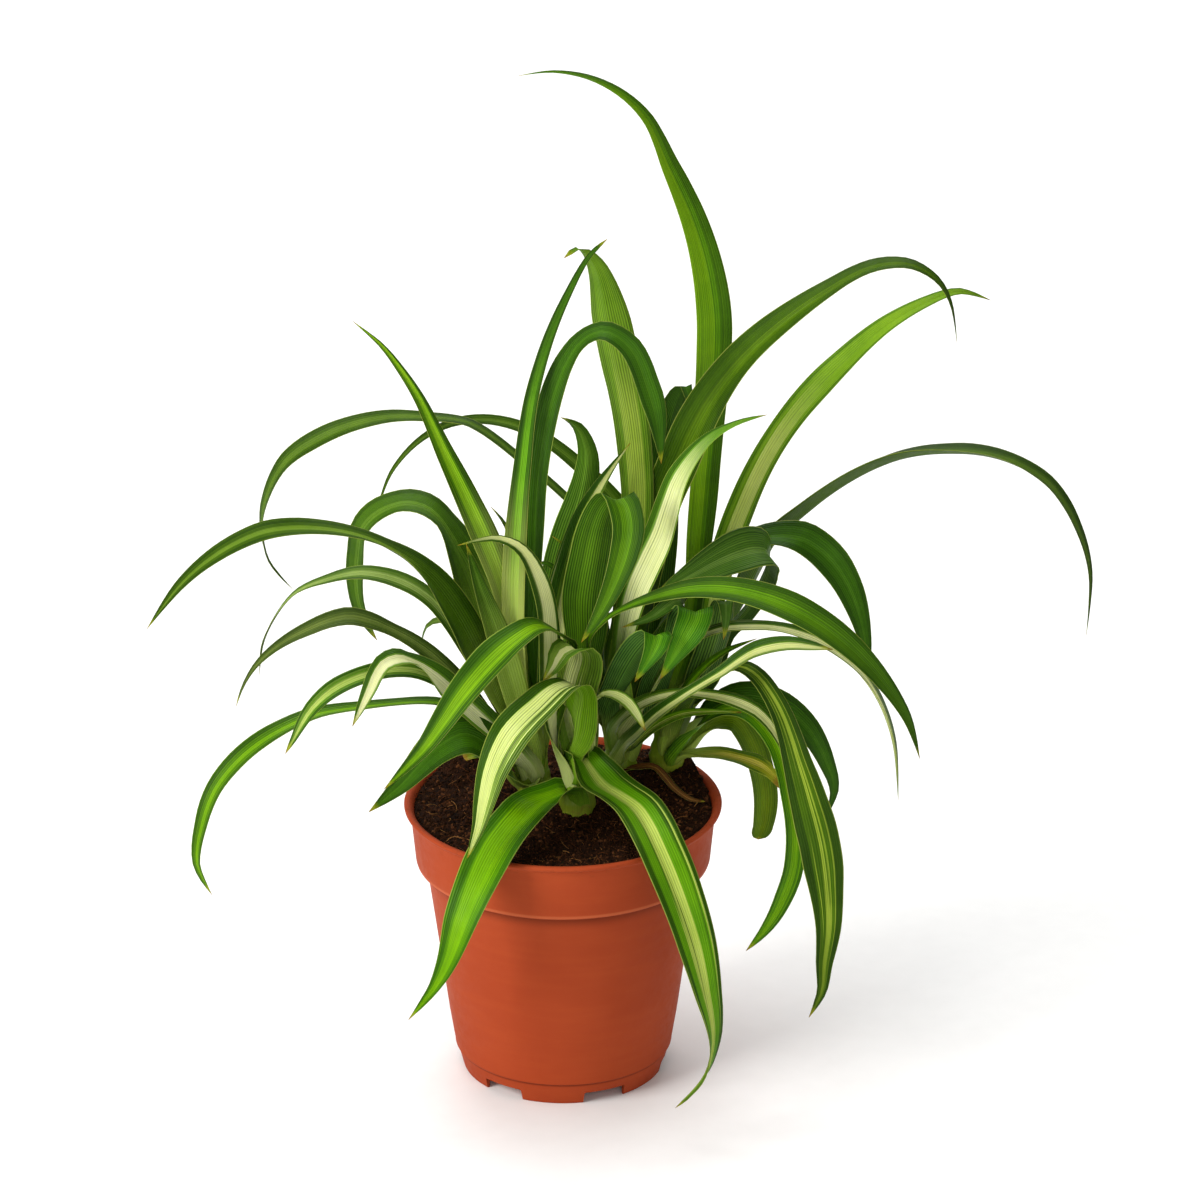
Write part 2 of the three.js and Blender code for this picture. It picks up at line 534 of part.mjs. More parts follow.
const RIGHT_LEAVES = [
  {
    name: 'leaf_right_dark_arch', colour: DARK, bearing: 50, tier: 3, heading: 355,
    width: 18, roll: [-60, -70, -60, -35, -20, -20],
    midrib: [
      [35, 37, 201], [40, 31, 244], [47, 25, 279], [56, 18, 306], [67, 11, 334], [83, 6, 360],
      [103, 1, 382], [125, -3, 400], [143, -6, 411], [160, -8, 413], [173, -11, 406],
      [179, -15, 396], [182, -19, 378],
    ],
  },
  {
    name: 'leaf_tall_broad', colour: LIGHT, bearing: 190, tier: 3, heading: 250,
    widths: [6, 7.5, 9.5, 12, 14.5, 16, 17.5, 18.5, 20.5, 19, 10.5, 1],
    roll: [0, 0, 0],
    midrib: [
      [24, 31, 190], [29, 28, 226], [34, 26, 258], [35, 26, 285], [32, 25, 322], [27, 24, 350],
      [22, 22, 376], [18, 20, 396], [13, 17, 408], [7, 13, 413], [1, 11, 409],
    ],
  },
  {
    name: 'leaf_far_left_arch', colour: GREEN, bearing: 115, tier: 3, heading: 158,
    widths: [5, 5, 5, 5, 6.5, 6, 6, 5.5, 6.5, 9.5, 11.5, 10, 6.5, 4, 2],
    roll: [10, 5, 5, 12, 30, 45, 45, 10],
    midrib: [
      [20, 54, 199], [16, 58, 236], [8, 60, 262], [0, 62, 270], [-9, 64, 278], [-21, 67, 287],
      [-32, 71, 295], [-46, 76, 302], [-64, 82, 302], [-83, 88, 300], [-103, 92, 294],
      [-121, 96, 284], [-135, 99, 272], [-144, 101, 254], [-147, 102, 238], [-144, 103, 219],
      [-132, 103, 203],
    ],
  },
  {
    name: 'leaf_cream_upright', colour: CREAM, bearing: 270, tier: 3, heading: 350,
    widths: [6, 8.5, 11, 13.5, 16, 17.5, 17.5, 15.5, 10.5, 4.5, 1],
    roll: [-60, -70, -60, -40, -20],
    midrib: [
      [27, 24, 192], [30, 16, 222], [35, 10, 244], [46, 1, 274], [54, -6, 304], [63, -12, 322],
      [71, -16, 332], [83, -20, 340], [95, -24, 345],
    ],
  },
  {
    name: 'leaf_ribbed_hanging_tip', colour: GREEN, bearing: 195, tier: 2, heading: 285,
    widths: [6, 9, 11.5, 14, 15.5, 17, 17, 16.5, 13.5, 7, 1],
    roll: [0, 0],
    midrib: [
      [21, 25, 176], [26, 13, 193], [33, 4, 211], [40, -4, 224], [45, -10, 229], [43, -15, 223],
      [39, -17, 216], [34, -17, 207],
    ],
  },
  {
    name: 'leaf_broad_hanging_tip', colour: GREEN, bearing: 350, tier: 1, heading: 270,
    widths: [6, 9, 12.5, 15.5, 9.5, 12, 18.5, 17.5, 15.5, 8, 1],
    roll: [0, 0],
    midrib: [
      [43, 28, 183], [52, 20, 208], [59, 12, 227], [63, 5, 235], [62, -2, 232], [58, -5, 225],
      [53, -6, 216], [46, -7, 204],
    ],
  },
  {
    name: 'leaf_cream_under_arc', colour: CREAM, bearing: 300, tier: 2, heading: 350,
    width: 8, roll: [-15, -15, -20],
    midrib: [
      [38, 25, 176], [44, 19, 190], [50, 12, 204], [56, 6, 216], [65, 3, 222], [76, 1, 227],
      [89, 1, 228], [103, 1, 227], [122, -1, 221], [139, -3, 209], [151, -4, 191], [158, -5, 168],
      [160, -5, 140],
    ],
  },
  {
    name: 'leaf_cream_striped_right', colour: CREAM, bearing: 250, tier: 0, heading: 340,
    widths: [6, 9, 11.5, 11, 9, 7, 6.5, 6.5, 5.5, 4, 1],
    roll: [-30, -45],
    midrib: [
      [29, 14, 160], [35, 6, 170], [43, 1, 181], [54, -4, 192], [65, -9, 202], [75, -12, 210],
      [90, -15, 222], [107, -18, 227], [127, -20, 225],
    ],
  },
  {
    name: 'leaf_grey_arc_right', colour: CREAM, bearing: 262, tier: 1, heading: 345,
    widths: [6, 11, 12, 11.5, 8, 6, 6.5, 8, 7, 5, 1],
    roll: [-20, -20, -40],
    midrib: [
      [24, 22, 163], [30, 17, 175], [40, 12, 184], [49, 8, 189], [58, 4, 192], [68, 2, 192],
      [78, 2, 190], [92, 1, 184], [101, 1, 173], [107, 1, 159],
    ],
  },
  {
    name: 'leaf_light_edge_right', colour: LIGHT, bearing: 290, tier: 1, heading: 350,
    width: 8, roll: [-20, -30],
    midrib: [[34, 18, 158], [44, 14, 170], [56, 10, 178], [68, 7, 181], [85, 6, 181]],
  },
  {
    name: 'leaf_dark_left_behind', colour: DARK, bearing: 155, tier: 2, heading: 175,
    width: 12, roll: [30, 40],
    midrib: [[7, 32, 190], [7, 25, 220], [1, 21, 243], [-7, 20, 252], [-16, 20, 252]],
  },
  {
    name: 'leaf_small_green_tip', colour: GREEN, bearing: 122, tier: 1, heading: 185,
    width: 10, roll: [40, 50],
    midrib: [[16, 42, 190], [15, 31, 222], [12, 22, 246], [5, 19, 258], [-5, 18, 267]],
  },
  {
    name: 'leaf_dry_fallen', colour: DRY, bearing: 275, tier: 0, heading: 315,
    widths: [3.5, 5, 4, 5, 4, 3, 1.5],
    roll: [-40, -60],
    midrib: [[44, 16, 148], [53, 8, 141], [61, 3, 137], [68, -2, 138]],
  },
  {
    name: 'leaf_left_point_tip', colour: DARK, bearing: 340, tier: 3, heading: 200,
    width: 13, roll: [80, 80, 60, 40, 40, 40], taperFrom: 0.55,
    midrib: [
      [39, 33, 195], [49, 27, 220], [57, 21, 233], [52, 14, 235], [42, 7, 230], [28, 4, 226],
    ],
  },
];

const REAR_LEAVES = [
  {
    name: 'leaf_tallest', colour: GREEN, bearing: 100, tier: 3, heading: 185,
    width: 14, roll: [80, 85, 80, 70, 40, 20],
    midrib: [
      [58, 43, 195], [62, 46, 217], [65, 47, 253], [68, 46, 294], [70, 43, 331], [71, 43, 366],
      [67, 43, 395], [60, 43, 419], [49, 42, 445], [40, 41, 466], [28, 40, 479], [12, 38, 488],
      [-5, 37, 491], [-20, 37, 489],
    ],
  },
  {
    name: 'leaf_right_light_arch', colour: LIGHT, bearing: 0, tier: 3, heading: 350,
    width: 16, roll: [-60, -60, -50, -40, -25], taperFrom: 0.65,
    midrib: [
      [64, 48, 192], [71, 52, 212], [77, 55, 239], [86, 56, 266], [98, 55, 294], [113, 55, 318],
      [133, 57, 340], [153, 59, 358], [173, 62, 369], [188, 67, 372], [203, 71, 366],
    ],
  },
  {
    name: 'leaf_far_right_arch', colour: DARK, bearing: 38, tier: 2, heading: 5,
    width: 13, roll: [25, 25, 10, -5, -35, -50],
    midrib: [
      [71, 58, 178], [84, 62, 212], [97, 64, 242], [115, 67, 260], [137, 68, 277], [161, 71, 287],
      [185, 73, 289], [209, 75, 285], [233, 76, 271], [248, 77, 247], [255, 78, 222],
      [254, 77, 190],
    ],
  },
  {
    name: 'leaf_back_thin_arch', colour: DARK, bearing: 70, tier: 1, heading: 165,
    width: 6, roll: [30, 40],
    midrib: [
      [50, 62, 195], [45, 68, 228], [30, 75, 256], [8, 82, 277], [-14, 88, 292], [-35, 92, 297],
      [-54, 95, 294], [-71, 97, 283], [-84, 98, 266], [-90, 98, 249], [-95, 97, 236],
    ],
  },
  {
    name: 'leaf_right_dark_drop', colour: DARK, bearing: 150, tier: 2, heading: 345,
    widths: [5, 6, 6, 7, 8, 11, 15, 17, 16, 12.5, 7.5, 2],
    roll: [-85, -80, -65, -20, -20, -60, -70, -60],
    midrib: [
      [45, 38, 189], [52, 38, 218], [66, 39, 240], [82, 42, 251], [97, 45, 256], [114, 42, 256],
      [129, 38, 245], [139, 36, 227], [144, 35, 209], [147, 36, 191],
    ],
  },
  {
    name: 'leaf_right_folded_back', colour: DARK, bearing: 345, tier: 2, heading: 205,
    widths: [6, 7.5, 8.5, 10, 12, 15.5, 20, 24, 23.5, 17.5, 10.5, 1],
    roll: [0, 0, 0, 10, 30, 45, 45],
    midrib: [
      [72, 37, 190], [80, 37, 210], [87, 35, 219], [95, 32, 234], [99, 28, 247], [98, 22, 258],
      [90, 15, 262], [75, 8, 259], [60, 2, 253], [44, -4, 247],
    ],
  },
  {
    name: 'leaf_down_tip', colour: GREEN, bearing: 298, tier: 2, heading: 285,
    width: 15, roll: [0, 0], taperFrom: 0.6,
    midrib: [
      [66, 27, 190], [74, 21, 219], [76, 12, 236], [77, 2, 239], [77, -4, 232], [76, -6, 224],
    ],
  },
  {
    name: 'leaf_dark_behind_drop', colour: DARK, bearing: 325, tier: 1, heading: 345,
    width: 15, roll: [-40, -50, -50],
    midrib: [
      [72, 37, 170], [87, 34, 177], [104, 34, 172], [118, 33, 160], [128, 35, 139],
      [131, 37, 126], [127, 40, 109],
    ],
  },
  {
    name: 'leaf_olive_drop', colour: DARK, bearing: 0, tier: 0, heading: 350,
    widths: [6, 10, 13, 13.5, 13.5, 13, 13, 12, 9],
    roll: [-40, -60],
    midrib: [
      [73, 43, 159], [82, 45, 160], [89, 47, 151], [95, 49, 134], [98, 51, 115], [97, 52, 100],
      [95, 53, 92],
    ],
  },
  {
    name: 'leaf_yellowing_low', colour: CREAM, bearing: 315, tier: 0, heading: 340,
    widths: [3.5, 4, 5, 6.5, 8.5, 10, 5.5, 1],
    roll: [-20, -40],
    midrib: [[68, 25, 150], [76, 24, 151], [88, 22, 149], [97, 21, 145], [105, 19, 137]],
  },
  {
    name: 'leaf_back_folded_tip', colour: DARK, bearing: 100, tier: 2, heading: 270,
    width: 18, roll: [0, 0], taperFrom: 0.75,
    midrib: [
      [43, 46, 203], [46, 45, 256], [47, 38, 298], [53, 32, 329], [58, 26, 340], [60, 19, 330],
    ],
  },
  {
    name: 'leaf_thin_point_right', colour: GREEN, bearing: 255, tier: 1, heading: 340,
    width: 8, roll: [-20, -40],
    midrib: [[55, 21, 180], [66, 17, 198], [78, 13, 210], [92, 9, 218]],
  },
  {
    name: 'leaf_big_right_drop', colour: LIGHT, bearing: 295, tier: 1, heading: 335,
    widths: [6, 6, 6, 7, 9, 10, 12.5, 17.5, 20.5, 20, 15, 10.5, 6, 1],
    roll: [-10, -10, -20, -50, -75, -75, -75, -70, -60],
    midrib: [
      [58, 19, 176], [66, 17, 190], [76, 12, 199], [84, 6, 205], [93, -3, 203], [104, -11, 187],
      [111, -21, 168], [117, -28, 149], [122, -35, 131], [125, -42, 111], [126, -47, 93],
      [124, -51, 75], [123, -54, 63], [117, -56, 50],
    ],
  },
  {
    name: 'leaf_curl_right', colour: GREEN, bearing: 275, tier: 0, heading: 330,
    widths: [6, 7.5, 8.5, 10, 9, 9, 9.5, 10.5, 10.5, 7, 1],
    roll: [-30, -30, -40, -60],
    midrib: [
      [64, 19, 167], [77, 16, 178], [89, 12, 178], [101, 6, 165], [108, 0, 141], [111, -3, 120],
      [110, -5, 103], [106, -6, 90], [101, -7, 79], [95, -8, 70], [88, -9, 62],
    ],
  },
];

// ---- the plant ----------------------------------------------------------------------------

const crownFinish = material(0x9fb25c, 0.55);
const clearedCrowns = crowns.map((crown) => toSolid(crownGeometry(crown, TOUCH_GAP)));

addPiece('pot', potGeometry(), material(0xb85530, 0.5));
addPiece('soil', soilGeometry(clearedCrowns), material(0x2e1c12, 0.95));
for (const crown of crowns) addPiece(crown.name, crownGeometry(crown), crownFinish.clone());

function addLeaves(crown, leaves) {
  for (const leaf of leaves) {
    addPiece(leaf.name, leafGeometry({ crown, ...leaf }), material(leaf.colour, 0.45));
  }
}

addLeaves(front, FRONT_LEAVES);
addLeaves(left, LEFT_LEAVES);
addLeaves(right, RIGHT_LEAVES);
addLeaves(rear, REAR_LEAVES);

export default plant;
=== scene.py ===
import math
from itertools import combinations

import bmesh
import bpy
import numpy as np
from mathutils import Matrix, Vector, noise
from mathutils.bvhtree import BVHTree


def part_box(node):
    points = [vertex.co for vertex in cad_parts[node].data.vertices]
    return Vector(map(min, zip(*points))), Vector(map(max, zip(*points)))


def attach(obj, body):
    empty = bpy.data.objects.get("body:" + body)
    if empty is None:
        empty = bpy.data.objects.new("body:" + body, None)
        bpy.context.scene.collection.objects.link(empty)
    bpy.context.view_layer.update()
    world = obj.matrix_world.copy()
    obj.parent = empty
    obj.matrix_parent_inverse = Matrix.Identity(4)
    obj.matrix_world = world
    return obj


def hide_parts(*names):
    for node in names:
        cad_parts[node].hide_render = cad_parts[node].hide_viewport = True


# Looks of a potted spider plant: striped leaves, fleshy crowns, peaty soil and a moulded pot.
# Metres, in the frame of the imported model: +Z up, the pot standing on z = 0.

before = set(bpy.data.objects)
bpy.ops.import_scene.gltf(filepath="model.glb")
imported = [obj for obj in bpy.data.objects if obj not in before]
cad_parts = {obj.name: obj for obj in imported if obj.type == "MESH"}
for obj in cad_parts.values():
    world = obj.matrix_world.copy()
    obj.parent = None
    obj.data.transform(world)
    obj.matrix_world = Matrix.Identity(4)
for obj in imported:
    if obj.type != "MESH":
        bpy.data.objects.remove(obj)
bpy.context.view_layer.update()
scene = bpy.context.scene

MM = 0.001
CROWNS = ["crown_front", "crown_left", "crown_right", "crown_right_rear"]


# ---- bench tools ---------------------------------------------------------------------------------

def shade(red, green, blue):
    """A paint mixed by its screen values, 0 to 255, as the shaders want it."""
    def linear(value):
        value /= 255
        return value / 12.92 if value <= 0.04045 else ((value + 0.055) / 1.055) ** 2.4
    return (linear(red), linear(green), linear(blue), 1.0)


def node(tree, kind, inputs=None, **settings):
    made = tree.nodes.new(kind)
    for name, value in settings.items():
        setattr(made, name, value)
    for name, value in (inputs or {}).items():
        if isinstance(value, bpy.types.NodeSocket):
            tree.links.new(value, made.inputs[name])
        else:
            made.inputs[name].default_value = value
    return made


def sums(tree, operation, *values):
    return node(tree, "ShaderNodeMath", dict(enumerate(values)), operation=operation).outputs[0]


def times(tree, first, second):
    return sums(tree, "MULTIPLY", first, second)


def blend(tree, share, first, second, how="MIX"):
    """The first colour turning into the second as share goes from 0 to 1."""
    made = node(
        tree, "ShaderNodeMix", {0: share, 6: first, 7: second}, data_type="RGBA", blend_type=how)
    return made.outputs[2]


def ramp(tree, value, low, high, start=0.0, end=1.0):
    """A soft step of value from start, at low, to end, at high."""
    made = node(
        tree, "ShaderNodeMapRange",
        {"Value": value, "From Min": low, "From Max": high, "To Min": start, "To Max": end},
        interpolation_type="SMOOTHSTEP",
    )
    return made.outputs[0]


def grain(tree, vector, scale, detail=3.0, roughness=0.5):
    made = node(
        tree, "ShaderNodeTexNoise",
        {"Vector": vector, "Scale": scale, "Detail": detail, "Roughness": roughness},
    )
    return made.outputs[0]


def new_finish(name):
    finish = bpy.data.materials.new(name)
    finish.use_nodes = True
    tree = finish.node_tree
    tree.nodes.clear()
    shader = node(tree, "ShaderNodeBsdfPrincipled")
    output = node(tree, "ShaderNodeOutputMaterial")
    tree.links.new(shader.outputs[0], output.inputs[0])
    return finish, tree, shader


def wire(tree, shader, **sockets):
    """Sets or links the shader's sockets, named with _ for a space."""
    for name, value in sockets.items():
        socket = shader.inputs[name.replace("_", " ")]
        if isinstance(value, bpy.types.NodeSocket):
            tree.links.new(value, socket)
        else:
            socket.default_value = value


def raised(tree, height, distance, strength=1.0):
    made = node(
        tree, "ShaderNodeBump", {"Height": height, "Distance": distance, "Strength": strength})
    return made.outputs[0]


def noted(tree, label):
    """A number that point_value noted on each point."""
    return node(tree, "ShaderNodeAttribute", attribute_name=label).outputs["Fac"]


def piece_of(name, vertices, faces, finish):
    mesh = bpy.data.meshes.new(name)
    mesh.from_pydata([tuple(v) for v in vertices], [], [tuple(f) for f in faces])
    mesh.materials.append(finish)
    mesh.polygons.foreach_set("use_smooth", [True] * len(mesh.polygons))
    mesh.update()
    made = bpy.data.objects.new(name, mesh)
    scene.collection.objects.link(made)
    return made


def point_value(piece, name, values):
    """Notes a number on each point of a piece, for its material to read."""
    layer = piece.data.attributes.new(name, "FLOAT", "POINT")
    layer.data.foreach_set("value", np.asarray(values, np.float32))


def settle(piece, slot, *nodes):
    """The last calls on a finished piece."""
    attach(piece, "root")
    if nodes:
        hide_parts(*nodes)


# ---- camera, floor and light ---------------------------------------------------------------------

CAMERA_PLACE = (0.0177, -2.7219, 1.4028)
CAMERA_TILT = 66.9        # degrees up from looking straight down
SENSOR_WIDTH = 36         # millimetres, like the focal length
FOCAL_LENGTH = 188.28
FLOOR_REACH = 7.0         # metres from the middle to each edge


def set_camera():
    lens = bpy.data.cameras.new("camera")
    lens.sensor_width = SENSOR_WIDTH
    lens.lens = FOCAL_LENGTH
    lens.clip_start = 0.05
    lens.clip_end = 60
    camera = bpy.data.objects.new("camera", lens)
    camera.location = CAMERA_PLACE
    camera.rotation_euler = (math.radians(CAMERA_TILT), 0, 0)
    scene.collection.objects.link(camera)
    scene.camera = camera


def lay_floor():
    finish, tree, shader = new_finish("studio_floor")
    place = node(tree, "ShaderNodeTexCoord").outputs["Object"]
    speckle = grain(tree, place, 90, 4)
    wire(
        tree, shader, Base_Color=blend(tree, speckle, shade(243, 243, 242), shade(248, 248, 247)),
        Roughness=0.85, Specular_IOR_Level=0.2,
    )
    quarters = (-1, -1), (1, -1), (1, 1), (-1, 1)
    corners = [(x * FLOOR_REACH, y * FLOOR_REACH, 0) for x, y in quarters]
    floor = piece_of("floor", corners, [(0, 1, 2, 3)], finish)


def softbox(name, place, aim, width, height, power, warmth=(1, 1, 1)):
    """A rectangular lamp that looks at aim; metres and watts."""
    light = bpy.data.lights.new(name, "AREA")
    light.shape = "RECTANGLE"
    light.size = width
    light.size_y = height
    light.energy = power
    light.color = warmth
    lamp = bpy.data.objects.new(name, light)
    lamp.location = place
    lamp.rotation_euler = (Vector(aim) - Vector(place)).to_track_quat("-Z", "Y").to_euler()
    scene.collection.objects.link(lamp)


def light_studio():
    world = bpy.data.worlds.new("studio")
    scene.world = world
    world.use_nodes = True
    backdrop = world.node_tree.nodes["Background"]
    backdrop.inputs["Color"].default_value = (1.0, 1.0, 1.0, 1)
    backdrop.inputs["Strength"].default_value = 0.38
    scene.view_settings.view_transform = "Standard"
    softbox("key_light", (-2.3, -1.5, 1.7), (0, 0, 0.2), 1.5, 1.5, 88, (1.0, 0.985, 0.96))
    softbox("fill_light", (0.5, -3.0, 1.3), (0, 0, 0.15), 1.6, 1.2, 16)
    softbox("top_light", (-0.3, 0.2, 2.4), (0, 0, 0.2), 1.6, 1.6, 26)
    softbox("back_light", (0, 2.4, 2.4), (0, 1.5, 0), 3.0, 1.2, 46)


set_camera()
lay_floor()
light_studio()


# ---- leaves --------------------------------------------------------------------------------------

DRY_TIP = shade(150, 122, 36)
PALE_EDGE = shade(176, 186, 84)
PALE_BASE = shade(154, 176, 70)
WHITE_BASE = shade(196, 206, 128)
GREEN_BASE = shade(116, 156, 34)
FADING_TIP = shade(170, 170, 40)
RIB_SHADOW = shade(70, 92, 40)
HAIR_LIGHT = shade(250, 255, 200)
MOTTLE = shade(58, 84, 10)


FINISHES = {}


def leaf_finish(
    name, margin, band, middle, middle_width=0.3, margin_from=0.6, streaks=0.5, lines=0.35,
    pinstripes=0.0, ribbing=0.25, lean=0.0, shown=(0.0, 1.0), under=(76, 108, 34), under_share=0.45,
    base=PALE_BASE, base_reach=34, tip=2.2, gloss=0.0, seed=0.0,
):
    """Files a striped blade's finish: middle along the midrib, margin at the edges, band between.

    middle_width and margin_from are shares of the half width, and streaks is how far they wander.
    lines and pinstripes are the strength of thin lines in the margin's and the middle's colour.
    lean moves the stripes to one side, shown is the stretch of the leaf that has its middle colour,
    and base_reach and tip are millimetres of the base colour and of the dry tip."""
    margin, band, middle, under = shade(*margin), shade(*band), shade(*middle), shade(*under)
    finish, tree, shader = new_finish("leaf_" + name)
    FINISHES[name] = finish
    chart = node(tree, "ShaderNodeUVMap", uv_map="blade").outputs[0]
    parts = node(tree, "ShaderNodeSeparateXYZ", {0: chart})
    across, along = parts.outputs[0], parts.outputs[1]
    sideways = sums(tree, "MULTIPLY_ADD", across, 2.0, -1.0)
    off_midrib = sums(tree, "ABSOLUTE", sideways)
    place = node(tree, "ShaderNodeTexCoord").outputs["Object"]
    start = sums(tree, "ADD", times(tree, noted(tree, "individual"), 37.0), seed)
    below = noted(tree, "underside")

    def stripes(count, run, shift, detail):
        """Noise drawn out along the blade."""
        spot = node(tree, "ShaderNodeCombineXYZ", {
            0: times(tree, across, count),
            1: times(tree, along, run),
            2: sums(tree, "ADD", start, shift),
        })
        return grain(tree, spot.outputs[0], 1.0, detail, 0.6)

    wide = stripes(7.0, 0.9, 0.0, 2.0)
    wander = times(tree, sums(tree, "SUBTRACT", wide, 0.5), streaks)
    zone = sums(tree, "ADD", sums(tree, "ABSOLUTE", sums(tree, "SUBTRACT", sideways, lean)), wander)
    colour = blend(tree, ramp(tree, zone, margin_from - 0.05, margin_from + 0.05), band, margin)
    inside = ramp(tree, zone, middle_width + 0.035, middle_width - 0.035)
    thin = stripes(13.0, 0.7, 31.0, 1.0)
    pins = ramp(tree, thin, 0.6, 0.66, 0.0, pinstripes)
    inside = sums(tree, "MAXIMUM", inside, pins)
    comes = ramp(tree, along, shown[0] - 0.08, shown[0] + 0.02)
    goes = ramp(tree, along, shown[1] + 0.2, shown[1] - 0.05)
    inside = times(tree, inside, times(tree, comes, goes))
    colour = blend(tree, inside, colour, middle)
    fine = stripes(19.0, 1.1, 9.0, 2.0)
    colour = blend(tree, ramp(tree, fine, 0.58, 0.68, 0.0, lines), colour, margin)
    colour = blend(tree, times(tree, below, under_share), colour, under)
    ribs = times(tree, times(tree, across, noted(tree, "veins")), 2 * math.pi)
    rib = sums(tree, "SINE", ribs)
    rib_depth = sums(tree, "MULTIPLY_ADD", below, 0.3, ribbing)
    ribbed = times(tree, ramp(tree, rib, -0.2, 0.9), rib_depth)
    colour = blend(tree, ribbed, colour, RIB_SHADOW, "MULTIPLY")
    hair = stripes(90.0, 3.0, 21.0, 1.0)
    colour = blend(tree, ramp(tree, hair, 0.3, 0.7, 0.0, 0.35), colour, HAIR_LIGHT, "SOFT_LIGHT")
    mottle = grain(tree, place, 55.0, 3.0)
    colour = blend(tree, ramp(tree, mottle, 0.3, 0.7, 0.0, 0.3), colour, MOTTLE, "SOFT_LIGHT")
    rooted = ramp(tree, noted(tree, "from_base"), base_reach, base_reach * 0.3, 0.0, 0.85)
    colour = blend(tree, rooted, colour, base)
    colour = blend(tree, ramp(tree, off_midrib, 0.955, 0.985, 0.0, 0.5), colour, PALE_EDGE)
    uneven = sums(tree, "SUBTRACT", wide, 0.5)
    fringe = sums(tree, "MULTIPLY_ADD", uneven, 5.0, noted(tree, "to_tip"))
    colour = blend(tree, ramp(tree, fringe, tip * 3, tip * 1.4, 0.0, 0.6), colour, FADING_TIP)
    colour = blend(tree, ramp(tree, fringe, tip * 1.2, tip * 0.5), colour, DRY_TIP)

    relief = sums(tree, "MULTIPLY_ADD", rib, 0.5, times(tree, fine, 0.6))
    shine = ramp(tree, grain(tree, place, 160.0, 4.0), 0.25, 0.8, 0.33 - gloss, 0.48 - gloss)
    shine = sums(tree, "MULTIPLY_ADD", below, 0.14, shine)
    wire(
        tree, shader, Base_Color=colour, Roughness=shine, Specular_IOR_Level=0.08,
        Normal=raised(tree, relief, 0.00014, 0.9),
        Subsurface_Weight=0.12, Subsurface_Scale=0.0005, Subsurface_Radius=(0.9, 1.0, 0.1),
    )


leaf_finish("front_pale", (46, 80, 4), (90, 142, 10), (176, 194, 90), 0.26, 0.68, 0.9, 0.9, 0.85,
    base=shade(130, 174, 40), base_reach=12, gloss=0.04, seed=4.0)
leaf_finish("front_green", (54, 100, 4), (82, 134, 4), (114, 166, 8), 0.38, 0.68, 0.8, 0.6, 0.4,
    base=GREEN_BASE, base_reach=16, gloss=0.04)
leaf_finish("cream_striped", (48, 80, 4), (92, 130, 14), (204, 216, 134), 0.44, 0.56, 1.3, 0.9, 0.2,
    under=(96, 138, 14), under_share=0.92, base=GREEN_BASE)
leaf_finish("cream_right", (48, 84, 14), (92, 126, 34), (206, 212, 140), 0.42, 0.62, 0.6, 0.6, 0.4,
    lean=0.25, under=(116, 142, 50), under_share=0.4, base=shade(150, 178, 70), base_reach=50)
leaf_finish("bright_dark_edged", (48, 84, 6), (74, 116, 8), (114, 158, 16), 0.34, 0.52, 0.4, 0.5,
    0.25, under=(84, 118, 26))
leaf_finish("bright_fading", (46, 78, 6), (62, 98, 8), (92, 138, 12), 0.4, 0.64, 0.4, 0.5, 0.3,
    shown=(0.0, 0.62), under=(70, 98, 26))
leaf_finish("bright_middle", (52, 88, 6), (74, 116, 8), (106, 152, 14), 0.26, 0.58, 0.4, 0.4, 0.2,
    under=(84, 116, 24))
leaf_finish("upright_green", (40, 72, 8), (58, 100, 12), (98, 152, 26), 0.34, 0.56, 0.5, 0.4, 0.3,
    shown=(0.0, 0.62), under=(66, 104, 22), base=shade(192, 206, 104), base_reach=160)
leaf_finish("pale_middle", (66, 112, 8), (116, 158, 26), (182, 198, 96), 0.26, 0.7, 0.5, 0.5, 0.5)
leaf_finish("cream_wide", (62, 100, 14), (142, 174, 62), (206, 214, 142), 0.64, 0.82, 0.4, 0.35,
    under=(150, 172, 84), under_share=0.5, base=GREEN_BASE)
leaf_finish("cream_white", (56, 90, 12), (116, 148, 40), (218, 222, 154), 0.5, 0.66, 0.8, 0.5, 0.4,
    under=(128, 156, 46), under_share=0.75, base=GREEN_BASE, base_reach=60)
leaf_finish("white_grey", (74, 110, 18), (116, 146, 48), (212, 216, 150), 0.34, 0.62, 1.2, 0.6, 0.5,
    lean=0.2, under=(116, 144, 52), under_share=0.35, base=GREEN_BASE)
leaf_finish("dark_plain", (42, 76, 6), (54, 94, 10), (66, 108, 18), 0.14, 0.6, 0.5, 0.35,
    under=(62, 92, 30))
leaf_finish("dark_ribbed", (52, 86, 16), (72, 108, 30), (98, 132, 52), 0.2, 0.7, 0.6, 0.5, 0.5,
    ribbing=0.5, under=(70, 98, 44))
leaf_finish("plain_green", (46, 74, 2), (56, 86, 2), (74, 104, 8), 0.3, 0.7, 0.5, 0.3,
    under=(66, 96, 12))
leaf_finish("dark_striped", (42, 76, 6), (68, 104, 12), (142, 164, 70), 0.16, 0.45, 0.5, 0.4, 0.4,
    under=(72, 104, 34), under_share=0.8)
leaf_finish("green_ribbed", (60, 100, 10), (84, 126, 24), (110, 152, 44), 0.3, 0.7, 0.6, 0.45, 0.3,
    ribbing=0.4, under=(72, 108, 26))
leaf_finish("broad_centre", (48, 84, 6), (64, 102, 8), (92, 136, 18), 0.36, 0.66, 0.7, 0.5, 0.3,
    ribbing=0.45, lean=0.1, under=(66, 100, 18), under_share=0.5)
# Painted shade: one side of the blade stays bright green, and the other side is painted darker
# where its V fold turns from the light.
leaf_finish("fold_lit_and_shaded", (60, 98, 4), (80, 126, 6), (118, 164, 16), 0.6, 0.9, 0.4, 0.4, 0.1,
    lean=-0.45, shown=(0.0, 0.8), under=(92, 136, 16), under_share=0.3)
